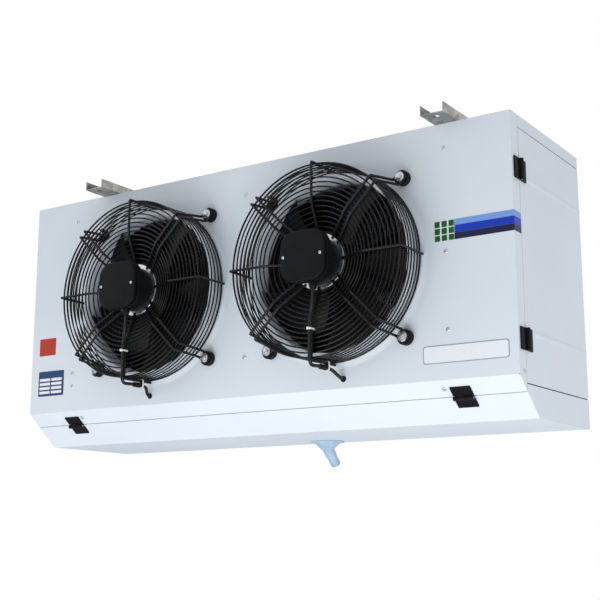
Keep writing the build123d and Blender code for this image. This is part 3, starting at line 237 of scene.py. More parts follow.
def spun(profile, steps=48, loop=False):
    """A turned shape from points of radius and height round Z."""
    bm = bmesh.new()
    verts = [bm.verts.new((r, 0, z)) for r, z in profile]
    edges = [bm.edges.new(pair) for pair in zip(verts, verts[1:])]
    if loop:
        edges.append(bm.edges.new((verts[-1], verts[0])))
    bmesh.ops.spin(bm, geom=verts + edges, cent=(0, 0, 0), axis=(0, 0, 1), angle=2 * pi,
                   steps=steps, use_merge=True)
    return merged(bm)


def solid_of_turn(profile, steps=48, edge=0.0):
    """A closed turned solid: the profile runs from the axis round to the axis."""
    bm = spun([(0, profile[0][1])] + list(profile) + [(0, profile[-1][1])], steps)
    return soften(bm, edge) if edge else bm


def ring_wire(radius, z, wire, steps=72, sides=8):
    """A round wire bent to a ring."""
    bm = bmesh.new()
    made = bmesh.ops.create_circle(bm, radius=wire / 2, segments=sides)
    bmesh.ops.transform(bm, matrix=at(radius, 0, z) @ turned(90, "X"), verts=made["verts"])
    bmesh.ops.spin(bm, geom=bm.verts[:] + bm.edges[:], cent=(0, 0, 0), axis=(0, 0, 1), angle=2 * pi,
                   steps=steps, use_merge=True)
    return merged(bm)


def block(low, high, edge=0.0, segments=2):
    """A box between two corners, its edges rounded."""
    bm = bmesh.new()
    bmesh.ops.create_cube(bm, size=1.0)
    size = [b - a for a, b in zip(low, high)]
    bmesh.ops.scale(bm, vec=size, verts=bm.verts[:])
    bmesh.ops.translate(bm, vec=[(a + b) / 2 for a, b in zip(low, high)], verts=bm.verts[:])
    return soften(bm, edge, segments) if edge else bm


def slab(size_x, size_y, corner, z0, z1, edge=0.0, segments=3):
    """A plate with rounded corners in the XY plane."""
    bm = bmesh.new()
    bmesh.ops.create_grid(bm, x_segments=1, y_segments=1, size=0.5)
    bmesh.ops.scale(bm, vec=(size_x, size_y, 1), verts=bm.verts[:])
    bmesh.ops.bevel(bm, geom=bm.verts[:], offset=corner, segments=8, profile=0.5,
                    affect="VERTICES", material=-1, clamp_overlap=True)
    made = bmesh.ops.extrude_face_region(bm, geom=bm.faces[:])
    raised = [g for g in made["geom"] if isinstance(g, bmesh.types.BMVert)]
    bmesh.ops.translate(bm, vec=(0, 0, z1 - z0), verts=raised)
    bmesh.ops.translate(bm, vec=(0, 0, z0), verts=bm.verts[:])
    merged(bm)
    return soften(bm, edge, segments, 60.0) if edge else bm


def bent(points, radius):
    """Points for a smooth wire that turns its corners within a radius."""
    route = [Vector(points[0])]
    for before, corner, after in zip(points, points[1:], points[2:]):
        a, b, c = Vector(before), Vector(corner), Vector(after)
        reach = min(radius, (b - a).length * 0.45, (c - b).length * 0.45)
        route += [b + (a - b).normalized() * reach, b, b + (c - b).normalized() * reach]
    route.append(Vector(points[-1]))
    return route


def tube(routes, radius, steps=6, around=3):
    """Round bars along smooth routes, each a spline with its points as control points."""
    curve = bpy.data.curves.new("tube", "CURVE")
    curve.dimensions = "3D"
    curve.bevel_depth = radius
    curve.bevel_resolution = around
    curve.resolution_u = steps
    curve.use_fill_caps = True
    for route in routes:
        spline = curve.splines.new("NURBS")
        spline.points.add(len(route) - 1)
        for point, place in zip(spline.points, route):
            point.co = (*place, 1)
        spline.order_u = 3
        spline.use_endpoint_u = True
    holder = bpy.data.objects.new("tube", curve)
    mesh = bpy.data.meshes.new_from_object(holder)
    bm = bmesh.new()
    bm.from_mesh(mesh)
    bpy.data.objects.remove(holder)
    bpy.data.curves.remove(curve)
    bpy.data.meshes.remove(mesh)
    return merged(bm)


def put(bm, matrix):
    """Move a mesh to its place."""
    bm.transform(matrix)
    return bm


def turned_copies(bm, angles, matrix):
    """Copies of a mesh turned about Z, each then put in place."""
    copies = [put(bm.copy(), matrix @ turned(a, "Z")) for a in angles]
    bm.free()
    return copies


def corners(node):
    """A node's lowest and highest corners."""
    low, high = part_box(node)
    return Vector(low), Vector(high)


def islands(node):
    """The box of each separate solid of a node."""
    bm = bmesh.new()
    bm.from_mesh(bpy.data.objects[node].data)
    merged(bm)
    left = set(bm.verts)
    boxes = []
    while left:
        stack = [left.pop()]
        found = []
        while stack:
            vert = stack.pop()
            found.append(vert.co.copy())
            for edge in vert.link_edges:
                other = edge.other_vert(vert)
                if other in left:
                    left.remove(other)
                    stack.append(other)
        boxes.append((Vector(min(v[i] for v in found) for i in range(3)),
                      Vector(max(v[i] for v in found) for i in range(3))))
    bm.free()
    return sorted(boxes, key=lambda pair: tuple(round(c, 4) for c in pair[0]))


def refined(node, edge, segments=2):
    """A copy of a CAD node with its flats merged and its edges rounded."""
    bm = bmesh.new()
    bm.from_mesh(bpy.data.objects[node].data)
    merged(bm)
    bmesh.ops.dissolve_limit(bm, angle_limit=radians(0.5), verts=bm.verts[:], edges=bm.edges[:])
    return soften(bm, edge * MM, segments)


def refine(node, material, body="casing", edge=0.5, segments=2):
    """Replace a CAD node by its refined copy, its flats shaded flat."""
    piece(node + "_finished", [refined(node, edge, segments)], material, body, replaces=[node],
          flat=0.45 * edge * MM)


def dress(node, material):
    """Give a CAD node its finish and leave its shape."""
    slots = bpy.data.objects[node].material_slots
    if not slots:
        raise RuntimeError("no material slot on " + node)
    for slot in slots:
        slot.material = material


PANEL_LOW, PANEL_HIGH = corners("top_panel")
PANEL_LEFT, PANEL_FRONT = PANEL_LOW.x, PANEL_LOW.y
PANEL_RIGHT, PANEL_BACK, PANEL_TOP = PANEL_HIGH


def fan_place(side):
    """From a fan's own millimetres (X along, Y up, Z out of the panel) to the row's metres."""
    low, high = corners(side + "_fan_guard")
    centre = ((low.x + high.x) / 2, PANEL_FRONT, (low.z + high.z) / 2)
    return at(*centre) @ turned(90, "X") @ MILLI


# ---------------------------------------------------------------- finishes
def node(tree, kind, links=(), **settings):
    """Add a node with its settings, and link sockets into it."""
    made = tree.nodes.new(kind)
    for key, value in settings.items():
        if key.startswith("in_"):
            made.inputs[int(key[3:])].default_value = value
        else:
            setattr(made, key, value)
    for source, socket in links:
        tree.links.new(source, made.inputs[socket])
    return made


def surface(name, base, rough, metal=0.0, ior=1.5, **sockets):
    """A material with its constant values on the shader's own sockets. Metal keeps the default IOR."""
    material = bpy.data.materials.new(name)
    material.use_nodes = True
    tree = material.node_tree
    shader = tree.nodes["Principled BSDF"]
    values = {"Base Color": base, "Roughness": rough, "Metallic": metal}
    if not metal:
        values["IOR"] = ior
    values.update((key.replace("_", " "), value) for key, value in sockets.items())
    for key, value in values.items():
        shader.inputs[key].default_value = value
    return material, tree, shader


def grain(tree, size_mm, detail=3.0):
    """Noise with features of a real size."""
    place = node(tree, "ShaderNodeTexCoord").outputs["Object"]
    noise = node(tree, "ShaderNodeTexNoise", [(place, "Vector")], in_2=0.7 / (size_mm * MM),
                 in_3=detail, in_4=0.5)
    return noise.outputs["Fac"]


def lines(tree, size_mm, waver):
    """Fine lines across Z with a real pitch."""
    place = node(tree, "ShaderNodeTexCoord").outputs["Object"]
    wave = node(tree, "ShaderNodeTexWave", [(place, "Vector")], bands_direction="Z",
                in_1=0.3 / (size_mm * MM), in_2=waver)
    return wave.outputs["Fac"]


def mottled(tree, shader, source, first, second, low=0.35, high=0.65):
    """Vary the colour between two values by a pattern."""
    ramp = node(tree, "ShaderNodeValToRGB", [(source, "Fac")])
    for element, place, tone in zip(ramp.color_ramp.elements, (low, high), (first, second)):
        element.position = place
        element.color = tone
    tree.links.new(ramp.outputs["Color"], shader.inputs["Base Color"])
    return ramp


def uneven(tree, shader, source, low, high):
    """Vary the roughness between two values by a pattern."""
    span = node(tree, "ShaderNodeMapRange", [(source, "Value")], in_1=0.3, in_2=0.7, in_3=low, in_4=high)
    tree.links.new(span.outputs["Result"], shader.inputs["Roughness"])


def bumped(tree, shader, source, height_mm, strength):
    """Raise the surface by a pattern."""
    bump = node(tree, "ShaderNodeBump", [(source, "Height")], in_0=strength, in_1=height_mm * MM)
    tree.links.new(bump.outputs["Normal"], shader.inputs["Normal"])


def scaled(values, factor):
    """A linear colour made darker or lighter."""
    return [min(1.0, c * factor) for c in values[:3]] + [1.0]


# Each finish has its base values, and where it needs them tones (grain in mm, detail, two colours,
# and where they end), sheen (grain in mm, detail, lowest and highest roughness) and relief (grain
# in mm, detail, height in mm, strength).
FINISHES = {
    # Bright zinc plate on small steel fixings: pale, slightly blue, with a soft mirror.
    "zinc_plated_steel": {"base": ("#c3c6ca", 0.26, 1.0), "sheen": (5.0, 3.0, 0.2, 0.34)},
    # Black oxide screws: dark grey with a dull sheen.
    "blackened_screw_steel": {"base": ("#2a2b2d", 0.45, 0.6), "sheen": (4.0, 3.0, 0.38, 0.52)},
    # Epoxy powder coat, gloss, on drawn steel wire: deep black with narrow pale highlights.
    "black_coated_wire": {
        "base": ("#08080a", 0.24), "sockets": {"Specular_IOR_Level": 0.3},
        "sheen": (1.8, 2.0, 0.2, 0.3), "relief": (1.8, 2.0, 0.02, 0.5)},
    # Painted pressed-steel blades and bell: gloss black that mirrors the room in long streaks.
    "black_painted_blade": {
        "base": ("#060607", 0.22), "sockets": {"Specular_IOR_Level": 0.12},
        "sheen": (3.0, 2.0, 0.16, 0.26), "relief": (3.0, 2.0, 0.015, 0.5)},
    # Glass-filled polyamide of the motor caps, glands and hinges: charcoal, matt, fine spark texture.
    "moulded_black_polyamide": {
        "base": ("#101114", 0.5, 0.0, 1.53), "sockets": {"Specular_IOR_Level": 0.1},
        "tones": (30.0, 3.0, "#0e0f12", "#131417"), "relief": (0.9, 2.0, 0.03, 0.6)},
    # EPDM rubber: matt black with a faint grey bloom.
    "moulded_rubber": {
        "base": ("#0e0e0f", 0.68, 0.0, 1.52), "sockets": {"Specular_IOR_Level": 0.2},
        "tones": (8.0, 3.0, "#0c0c0d", "#141415")},
    # Extruded PVC sheath: satin black with a slight waviness along its length.
    "pvc_cable_sheath": {
        "base": ("#0a0a0c", 0.36, 0.0, 1.54), "sockets": {"Specular_IOR_Level": 0.3},
        "sheen": (6.0, 3.0, 0.3, 0.44), "relief": (6.0, 3.0, 0.05, 0.4)},
    # Natural PA 6.6 cable ties: milky white, slightly translucent, satin.
    "natural_nylon": {
        "base": ("#ecece6", 0.4, 0.0, 1.53), "tones": (4.0, 3.0, "#e4e4dd", "#f1f1ec"),
        "sockets": {"Subsurface_Weight": 0.15, "Subsurface_Scale": 0.002}},
    # Bare fin stock: bright rolled aluminium with faint rolling lines across each fin.
    "rolled_aluminium_fin": {"base": ("#e2e4e6", 0.38, 1.0), "lines": (2.5, 1.2, 0.26, 0.4)},
    # Drawn copper tube after brazing: salmon metal with darker clouds where it was heated.
    "drawn_copper": {
        "base": ("#c98a68", 0.3, 1.0), "tones": (40.0, 3.0, "#a8664a", "#d39a78", 0.3, 0.6),
        "sheen": (40.0, 3.0, 0.24, 0.42)},
    # Turned brass distributor: yellow metal with fine turning lines.
    "turned_brass": {"base": ("#c2a15a", 0.28, 1.0), "lines": (1.2, 0.3, 0.2, 0.36)},
    # Ground stainless for the heater rods, shafts, hinge pins and bearings.
    "bright_stainless": {"base": ("#b9bbbd", 0.25, 1.0), "sheen": (12.0, 3.0, 0.2, 0.34)},
    # Moulded PVC drain fitting: blue-grey, satin, with slight flow clouds.
    "moulded_blue_grey_pvc": {
        "base": ("#a6bfd2", 0.4, 0.0, 1.54), "tones": (25.0, 3.0, "#9db6c9", "#aec6d8")},
    # Moulded ABS box: light grey with a fine texture.
    "moulded_grey_abs": {
        "base": ("#a9adb2", 0.46, 0.0, 1.53), "tones": (40.0, 3.0, "#a3a7ac", "#b0b4b9"),
        "relief": (1.2, 2.0, 0.03, 0.5)},
}


def made_finish(name):
    """A material from the table of finishes."""
    facts = FINISHES[name]
    text, *rest = facts["base"]
    material, tree, shader = surface(name, linear(text), *rest, **facts.get("sockets", {}))
    if "tones" in facts:
        size, detail, first, second, *ends = facts["tones"]
        mottled(tree, shader, grain(tree, size, detail), linear(first), linear(second), *ends)
    if "sheen" in facts:
        size, detail, low, high = facts["sheen"]
        uneven(tree, shader, grain(tree, size, detail), low, high)
    if "lines" in facts:
        size, waver, low, high = facts["lines"]
        uneven(tree, shader, lines(tree, size, waver), low, high)
    if "relief" in facts:
        size, detail, height, strength = facts["relief"]
        bumped(tree, shader, grain(tree, size, detail), height, strength)
    return material


def powder_coated_steel():
    """Polyester powder coat, semi-gloss, baked on steel sheet. The eye sees soft wide highlights,
    a fine orange peel and hardly any change of tone across a sheet."""
    coat = bpy.context.scene.cooler_sheet.coat[:]
    material, tree, shader = surface("powder_coated_steel", coat, 0.34)
    mottled(tree, shader, grain(tree, 160.0, 2.0), scaled(coat, 0.975), scaled(coat, 1.012))
    peel = grain(tree, 2.2, 2.0)
    uneven(tree, shader, peel, 0.3, 0.4)
    bumped(tree, shader, peel, 0.012, 0.5)
    return material


def galvanised_sheet():
    """Hot-dip galvanised steel. The eye sees flat zinc crystals, each with its own grey, a dull
    uneven sheen, and painted brown shade in the recesses."""
    material, tree, shader = surface("galvanised_sheet", linear("#a9abad"), 0.42, 1.0)
    place = node(tree, "ShaderNodeTexCoord").outputs["Object"]
    crystals = node(tree, "ShaderNodeTexVoronoi", [(place, "Vector")],
                    in_2=1 / bpy.context.scene.cooler_sheet.spangle)
    grey = node(tree, "ShaderNodeSeparateColor", [(crystals.outputs["Color"], "Color")])
    ramp = mottled(tree, shader, grey.outputs["Red"], linear("#8d8b87"), linear("#b4b2ae"), 0.0, 1.0)
    # painted shade: ambient occlusion darkens the base colour toward brown grey #3f3a35 in recesses, such
    # as inside the rail channels
    recess = node(tree, "ShaderNodeAmbientOcclusion", samples=8, only_local=True)
    recess.inputs["Distance"].default_value = 45 * MM
    depth = node(tree, "ShaderNodeMapRange", [(recess.outputs["AO"], "Value")], in_1=0.6, in_2=0.93)
    # mix of the zinc crystal colour and the painted brown shade, by how enclosed the surface is
    painted_shade = node(tree, "ShaderNodeMix", [(depth.outputs["Result"], 0), (ramp.outputs["Color"], 7)],
                 data_type="RGBA")
    painted_shade.inputs[6].default_value = linear("#3f3a35")
    tree.links.new(painted_shade.outputs[2], shader.inputs["Base Color"])
    uneven(tree, shader, grey.outputs["Green"], 0.34, 0.5)
    return material


def printed_vinyl(name, base):
    """Self-adhesive vinyl, screen printed in a flat colour: even tone, satin, with a faint ink grain."""
    material, tree, shader = surface("printed_vinyl_" + name, base, 0.38, ior=1.52,
                                     Specular_IOR_Level=0.25)
    mottled(tree, shader, grain(tree, 1.6, 2.0), scaled(base, 0.985), scaled(base, 1.01))
    return material


MADE = {}


def finish(name):
    """A finish, made once."""
    if name not in MADE:
        makers = {"powder_coated_steel": powder_coated_steel, "galvanised_sheet": galvanised_sheet}
        MADE[name] = makers[name]() if name in makers else made_finish(name)
    return MADE[name]


# ---------------------------------------------------------------- operators
class CoolerPanels(bpy.types.Operator):
    """Casing sheets, doors with rubber strips behind their gaps, and drain pan, with rounded edges."""
    bl_idname = "cooler.panels"
    bl_label = "Casing sheets"

    def execute(self, context):
        coat = finish("powder_coated_steel")
        edge = in_mm(context.scene.cooler_sheet.edge)
        refine("top_panel", coat, "casing", edge)
        refine("front_panel", coat, "casing", edge)
        for side in SIDES:
            refine(side + "_side_door", coat, side + "_door", edge)
            low, high = corners(side + "_side_door")
            face = PANEL_RIGHT - 0.0028 if side == "right" else PANEL_LEFT + 0.0014
            strips = [block((face, PANEL_FRONT + 0.036, z - 0.004),
                            (face + 0.0012, PANEL_BACK - 0.003, z + 0.002))
                      for z in (high.z, low.z + 0.002)]
            piece(side + "_door_gasket", strips, finish("moulded_rubber"), side + "_door")
        refine("drain_pan", coat, "drain_tray", edge)
        return {"FINISHED"}


class CoolerGalvanised(bpy.types.Operator):
    """Galvanised plates and hanger rails."""
    bl_idname = "cooler.galvanised"
    bl_label = "Plates and rails"

    def execute(self, context):
        zinc = finish("galvanised_sheet")
        edge = in_mm(context.scene.cooler_sheet.edge)
        names = ["fan_divider", "rear_rail"]
        names += [side + part for side in SIDES
                  for part in ("_end_plate", "_rear_plate", "_hanger_rail")]
        for name in names:
            refine(name, zinc, "casing", edge)
        return {"FINISHED"}


class CoolerNozzles(bpy.types.Operator):
    """Smooth fan nozzles drawn out of the front panel."""
    bl_idname = "cooler.nozzles"
    bl_label = "Fan nozzles"

    def execute(self, context):
        profile = [(176.6, -12.0), (176.6, 21.0), (177.8, 25.6), (180.8, 28.0), (185.6, 28.4),
                   (189.2, 26.8), (190.4, 23.0), (191.0, 8.0), (193.4, 3.4), (198.5, 1.2),
                   (208.8, 0.15), (208.8, -1.0), (181.4, -1.2), (180.4, -12.0)]
        parts = [put(spun(profile, 96, loop=True), fan_place(side)) for side in SIDES]
        piece("fan_nozzles", parts, finish("powder_coated_steel"), angle=50.0)
        return {"FINISHED"}


def spoke_height(radius):
    """Height of the spokes' centre line at a radius, in a fan's own millimetres."""
    slope = (SPOKE_HEIGHT - HUB_HEIGHT) / (SHOULDER - HUB_RADIUS)
    return SPOKE_HEIGHT - max(0.0, SHOULDER - radius) * slope


class CoolerGuards(bpy.types.Operator):
    """Welded wire guards with all their rings."""
    bl_idname = "cooler.guards"
    bl_label = "Wire guards"

    def execute(self, context):
        sizes = context.scene.cooler_guard
        spoke, wire, rim = in_mm(sizes.spoke_wire), in_mm(sizes.ring_wire), in_mm(sizes.rim_wire)
        pitch = in_mm(sizes.face_pitch)
        front = SPOKE_HEIGHT - (spoke + rim) / 2
        step = (front - REAR_RING) / sizes.side_rings
        single = [(HUB_RADIUS, 0, HUB_HEIGHT), (SHOULDER, 0, SPOKE_HEIGHT),
                  (SPOKE_CORNER, 0, SPOKE_HEIGHT), (SPOKE_CORNER, 0, 6.5)]
        near = [(HUB_RADIUS, ARM_HALF, HUB_HEIGHT), (SHOULDER, ARM_HALF, SPOKE_HEIGHT),
                (SPOKE_CORNER, ARM_HALF, SPOKE_HEIGHT), (212, ARM_HALF, ARM_FOOT),
                (EYE_RADIUS, ARM_HALF, ARM_FOOT)]
        far = [(x, -y, z) for x, y, z in near[::-1]]
        turn = [Vector((233.8, y, ARM_FOOT)) for y in (ARM_HALF, -ARM_HALF)]
        pair = bent(near, 7.0) + turn + bent(far, 7.0)
        for side in SIDES:
            place = fan_place(side)
            parts = []
            radius = GUARD_RADIUS - pitch
            while radius > FACE_END:
                slope = RING_SLOPE if radius < SHOULDER else 0.0
                drop = (spoke + wire) / 2 * hypot(1, slope)
                parts.append(put(ring_wire(radius, spoke_height(radius) - drop, wire), place))
                radius -= pitch
            parts.append(put(ring_wire(GUARD_RADIUS, front, rim), place))
            for i in range(sizes.side_rings):
                parts.append(put(ring_wire(GUARD_RADIUS, REAR_RING + i * step, wire if i else rim), place))
            parts += turned_copies(tube([bent(single, 7.0)], spoke / 2), (0, 90, 180, 270), place)
            parts += turned_copies(tube([pair], spoke / 2), ARM_ANGLES, place)
            piece(side + "_wire_guard", parts, finish("black_coated_wire"),
                  replaces=[side + "_fan_guard"])
        return {"FINISHED"}


def hex_head(across, z0, z1, edge):
    """A hexagon head with a turned chamfer."""
    bm = bmesh.new()
    bmesh.ops.create_cone(bm, cap_ends=True, segments=6, radius1=across / sqrt(3),
                          radius2=across / sqrt(3), depth=z1 - z0)
    bmesh.ops.translate(bm, vec=(0, 0, (z0 + z1) / 2), verts=bm.verts[:])
    return soften(bm, edge, 2)


class CoolerGuardFixings(bpy.types.Operator):
    """Rubber spacers, washers and bolts of the guards."""
    bl_idname = "cooler.guard_fixings"
    bl_label = "Guard fixings"

    def execute(self, context):
        rubber_parts, steel_parts = [], []
        for side in SIDES:
            for angle in ARM_ANGLES:
                place = fan_place(side) @ turned(angle, "Z") @ at(EYE_RADIUS, 0, 0)
                ring = [(3.4, 0.0), (14.6, 0.0), (15.7, 1.2), (15.2, 6.5), (15.7, 11.8), (14.6, 13.0),
                        (3.4, 13.0)]
                rubber_parts.append(put(spun(ring, 32, loop=True), place))
                washer = [(9.4, 19.0), (9.9, 19.3), (9.9, 20.2), (9.3, 20.6)]
                steel_parts.append(put(solid_of_turn(washer, 32), place))
                steel_parts.append(put(hex_head(10.0, 20.5, 24.5, 0.6), place))
                steel_parts.append(put(solid_of_turn([(2.9, -2.4), (2.9, 19.2)], 12), place))
        piece("spacer_rings", rubber_parts, finish("moulded_rubber"), replaces=["guard_spacers"])
        piece("guard_hex_bolts", steel_parts, finish("zinc_plated_steel"), replaces=["guard_bolts"])
        return {"FINISHED"}


class CoolerMotors(bpy.types.Operator):
    """Motor flanges, bodies, caps, bells and shafts."""
    bl_idname = "cooler.motors"
    bl_label = "Motors"

    def execute(self, context):
        rounding = in_mm(context.scene.cooler_fan.lid_round)
        for side in SIDES:
            place = fan_place(side)
            flange = [(56.0, 57.0), (57.0, 57.8), (57.0, 60.2), (56.0, 61.0)]
            parts = [put(solid_of_turn(flange, 72), place)]
            hub = [(48.4, 61.0), (57.0, 61.0), (57.6, 61.6), (57.6, 63.9), (57.0, 64.5), (48.4, 64.5)]
            parts.append(put(spun(hub, 72, loop=True), place))
            piece(side + "_motor_flange", parts, finish("zinc_plated_steel"))
            body = [(46.0, 60.8), (48.0, 62.4), (48.0, 100.0), (46.6, 102.2)]
            base = slab(CAP_SIZE, CAP_SIZE, CAP_CORNER, 102.0, 114.4, 1.2)
            ribs = [put(block((46.5, -1.2, 64), (48.0, 1.2, 99), 0.4), turned(angle, "Z"))
                    for angle in range(0, 360, 15)]
            parts = [put(part, place) for part in [solid_of_turn(body, 64), base] + ribs]
            piece(side + "_motor_housing", parts, finish("moulded_black_polyamide"),
                  replaces=[side + "_motor_stator"])
            lid = slab(CAP_SIZE, CAP_SIZE, CAP_CORNER, 115.2, CAP_FRONT, rounding, 5)
            dimple = spun([(2.2, 128.05), (3.4, 128.4), (4.6, 127.9)], 24)
            seam = slab(100.4, 100.4, 29.2, 114.2, 115.4)
            parts = [put(part, place) for part in (lid, dimple, seam)]
            piece(side + "_motor_lid", parts, finish("moulded_black_polyamide"),
                  replaces=[side + "_motor_cap"])
            bell = [(44.0, -20.0), (47.0, -18.6), (48.0, -16.0), (48.0, 50.0), (46.6, 53.2), (42.0, 54.5)]
            piece(side + "_motor_bell", [put(solid_of_turn(bell, 72), place)],
                  finish("black_painted_blade"), side + "_fan", replaces=[side + "_rotor"])
            axle = [(5.4, -10.0), (6.0, -9.4), (6.0, 99.4), (5.4, 100.0)]
            piece(side + "_motor_shaft", [put(solid_of_turn(axle, 32), place)],
                  finish("bright_stainless"), side + "_fan", replaces=[side + "_shaft"])
        return {"FINISHED"}


def between(values, t):
    """A smooth curve through three values at 0, 0.43 and 1."""
    a, b, c = values
    m = 0.43
    return (a * (t - m) * (t - 1) / m + b * t * (t - 1) / (m * (m - 1)) + c * t * (t - m) / (1 - m))


def blade_height(offset):
    """Height of a blade's middle face at an offset from the blade's line."""
    share = (offset + BLADE_HALF) / (2 * BLADE_HALF)
    return 22 - 56 * share - 12 * share ** 3 + 3.0 * sin(pi * share)


def sickle_blade(thickness):
    """A twisted blade whose leading and trailing edges are smooth curves."""
    across, out = 14, 18
    blade = bmesh.new()
    bmesh.ops.create_grid(blade, x_segments=out, y_segments=across, size=0.5)
    for vert in blade.verts:
        t, u = vert.co.x + 0.5, vert.co.y + 0.5
        offset = between((-28, -33, -74), t) * (1 - u) + between((26, 58, 76), t) * u
        tip = sqrt(BLADE_TIP ** 2 - offset ** 2)
        vert.co = (BLADE_ROOT + (tip - BLADE_ROOT) * t, offset, blade_height(offset))
    bmesh.ops.recalc_face_normals(blade, faces=blade.faces[:])
    bmesh.ops.solidify(blade, geom=blade.faces[:], thickness=thickness)
    merged(blade)
    return soften(blade, 0.5, 2, 50.0)


class CoolerImpellers(bpy.types.Operator):
    """Impellers with smooth sickle blades."""
    bl_idname = "cooler.impellers"
    bl_label = "Impellers"

    def execute(self, context):
        sizes = context.scene.cooler_fan
        thickness = in_mm(sizes.blade)
        angles = [360 * i / sizes.blades for i in range(sizes.blades)]
        hub = [(48.2, -15.4), (50.2, -16.0), (51.0, -15.2), (51.0, 13.2), (50.2, 14.0), (48.2, 13.4)]
        rivet = [(3.2, 0), (3.0, 1.0), (1.8, 1.8)]
        for side in SIDES:
            place = fan_place(side)
            parts = turned_copies(sickle_blade(thickness), angles, place)
            parts.append(put(spun(hub, 72, loop=True), place))
            for angle in angles:
                for x, y in ((60, -14), (62, 10)):
                    z = blade_height(y) + thickness * 0.6
                    parts.append(put(solid_of_turn(rivet, 12), place @ turned(angle, "Z") @ at(x, y, z)))
            piece(side + "_sickle_impeller", parts, finish("black_painted_blade"), side + "_fan",
                  replaces=[side + "_impeller"], angle=45.0)
        return {"FINISHED"}


def cable_route(entry):
    """Control points of a motor cable in a fan's own millimetres."""
    beside, height = GLAND
    return [(beside, -64, height), (beside, -84, height), (1, -116, 99.6), (0, -172, 99.1),
            (0, -211.1, 100.1), (0, -CABLE_BELOW, 72), (0, -CABLE_BELOW, 22), (entry * 0.5, -219, 15),
            (entry, -SOCKET_BELOW, 7), (entry, -SOCKET_BELOW, 1.0)]


def without_ends(bm, least=0.0):
    """Remove a plate's two large faces."""
    ends = [f for f in bm.faces if abs(f.normal.z) > 0.9 and f.calc_area() > least]
    bmesh.ops.delete(bm, geom=ends, context="FACES_ONLY")
    return bm


def tie(width, height):
    """A cable tie drawn tight: a rounded band."""
    band = without_ends(slab(width + 2.6, height + 2.6, 2.4, -1.8, 1.8, 0.4), 60)
    whole = joined([band, without_ends(slab(width, height, 1.6, -1.8, 1.8))])
    open_edges = [e for e in whole.edges if len(e.link_faces) == 1]
    for sign in (1, -1):
        bmesh.ops.bridge_loops(whole, edges=[e for e in open_edges if e.verts[0].co.z * sign > 0])
    return merged(whole)


class CoolerCables(bpy.types.Operator):
    """Motor cables with glands, sleeves, ties and sockets."""
    bl_idname = "cooler.cables"
    bl_label = "Motor cables"

    def execute(self, context):
        radius = in_mm(context.scene.cooler_fan.cable) / 2
        cables, glands, sleeves, ties, sockets = [], [], [], [], []
        gland_dome = [(7.4, 7.0), (7.6, 9.5), (6.4, 13.6), (4.6, 15.0)]
        sleeve = [(3.55, 42.2), (5.1, 42.2), (5.45, 42.8), (5.45, 61.2), (5.1, 61.8), (3.55, 61.8)]
        socket = [(3.5, 1.5), (4.6, 1.5), (6.2, 0.9), (6.4, 0.0), (4.8, -1.3), (8.8, -1.4),
                  (8.8, -22.8), (3.5, -22.8)]
        for side in SIDES:
            place, entry = fan_place(side), CABLE_ENTRIES[side]
            route = [Vector(point) for point in cable_route(entry)]
            cables.append(put(tube([route], radius, 12, 5), place))
            down = place @ at(GLAND[0], -50.5, GLAND[1]) @ turned(90, "X")
            glands += [put(hex_head(15.0, 0.5, 7.5, 0.7), down), put(solid_of_turn(gland_dome, 32), down)]
            sleeves.append(put(spun(sleeve, 28, loop=True), place @ at(0, -CABLE_BELOW, 0)))
            front = place @ at(0.6, -140, 96.2) @ turned(90, "X")
            head = block((-2.6, 7.2, -2.6), (2.6, 11.4, 2.6), 0.6)
            ties += [put(tie(8.0, 14.6), front), put(head, front)]
            rear = place @ at(0.3, -204.8, 36.5)
            head = block((-2.6, -12.4, -2.6), (2.6, -8.6, 2.6), 0.6)
            ties += [put(tie(8.0, 15.8), rear), put(head, rear)]
            sockets.append(put(spun(socket, 32, loop=True), place @ at(entry, -SOCKET_BELOW, 0)))
        piece("sheathed_cables", cables, finish("pvc_cable_sheath"), replaces=["motor_cables"])
        piece("gland_nuts", glands, finish("moulded_black_polyamide"), replaces=["cable_glands"])
        piece("shrunk_sleeves", sleeves, finish("moulded_rubber"),
              replaces=["cable_sleeves"])
        piece("nylon_ties", ties, finish("natural_nylon"), replaces=["cable_ties"])
        piece("panel_grommets", sockets, finish("moulded_black_polyamide"), replaces=["cable_sockets"])
        return {"FINISHED"}


def pan_head(radius, height):
    """A domed screw head with a round recess in its crown, standing on the origin."""
    bm = solid_of_turn([(radius * 0.96, 0.0), (radius, height * 0.25), (radius * 0.9, height * 0.62),
                        (radius * 0.62, height * 0.9), (radius * 0.3, height)], 20)
    crown = [f for f in bm.faces if f.calc_center_median().z > height * 0.95]
    made = bmesh.ops.inset_region(bm, faces=crown, thickness=radius * 0.08, depth=-height * 0.4)
    if not made["faces"]:
        raise RuntimeError("no recess in a screw head")
    return bm


def facing(foot, way):
    """From a screw's own millimetres, standing on its foot and facing a way, to the row's metres."""
    turn = Vector((0, 0, 1)).rotation_difference(way).to_matrix().to_4x4()
    return at(*foot) @ turn @ MILLI


def casing_screw_place(low, high):
    """Where the head of a casing screw stands, and which way it faces."""
    size, centre = high - low, (low + high) / 2
    if min(size.x, size.z) > LARGE_SCREW * MM and abs(low.y - PANEL_FRONT + 2 * MM) < 0.5 * MM:
        return Vector((centre.x, PANEL_FRONT, centre.z)), Vector((0, -1, 0))
    if high.x > PANEL_RIGHT:
        return Vector((PANEL_RIGHT, centre.y, centre.z)), Vector((1, 0, 0))
    if low.x < PANEL_LEFT:
        return Vector((PANEL_LEFT, centre.y, centre.z)), Vector((-1, 0, 0))
    run = Vector((0, CHAMFER_RUN, -CHAMFER_DROP)).normalized()
    fold = Vector((centre.x, PANEL_FRONT, PANEL_TOP - FOLD_BELOW * MM))
    return fold + run * (centre - fold).dot(run), Vector((0, run.z, -run.y))


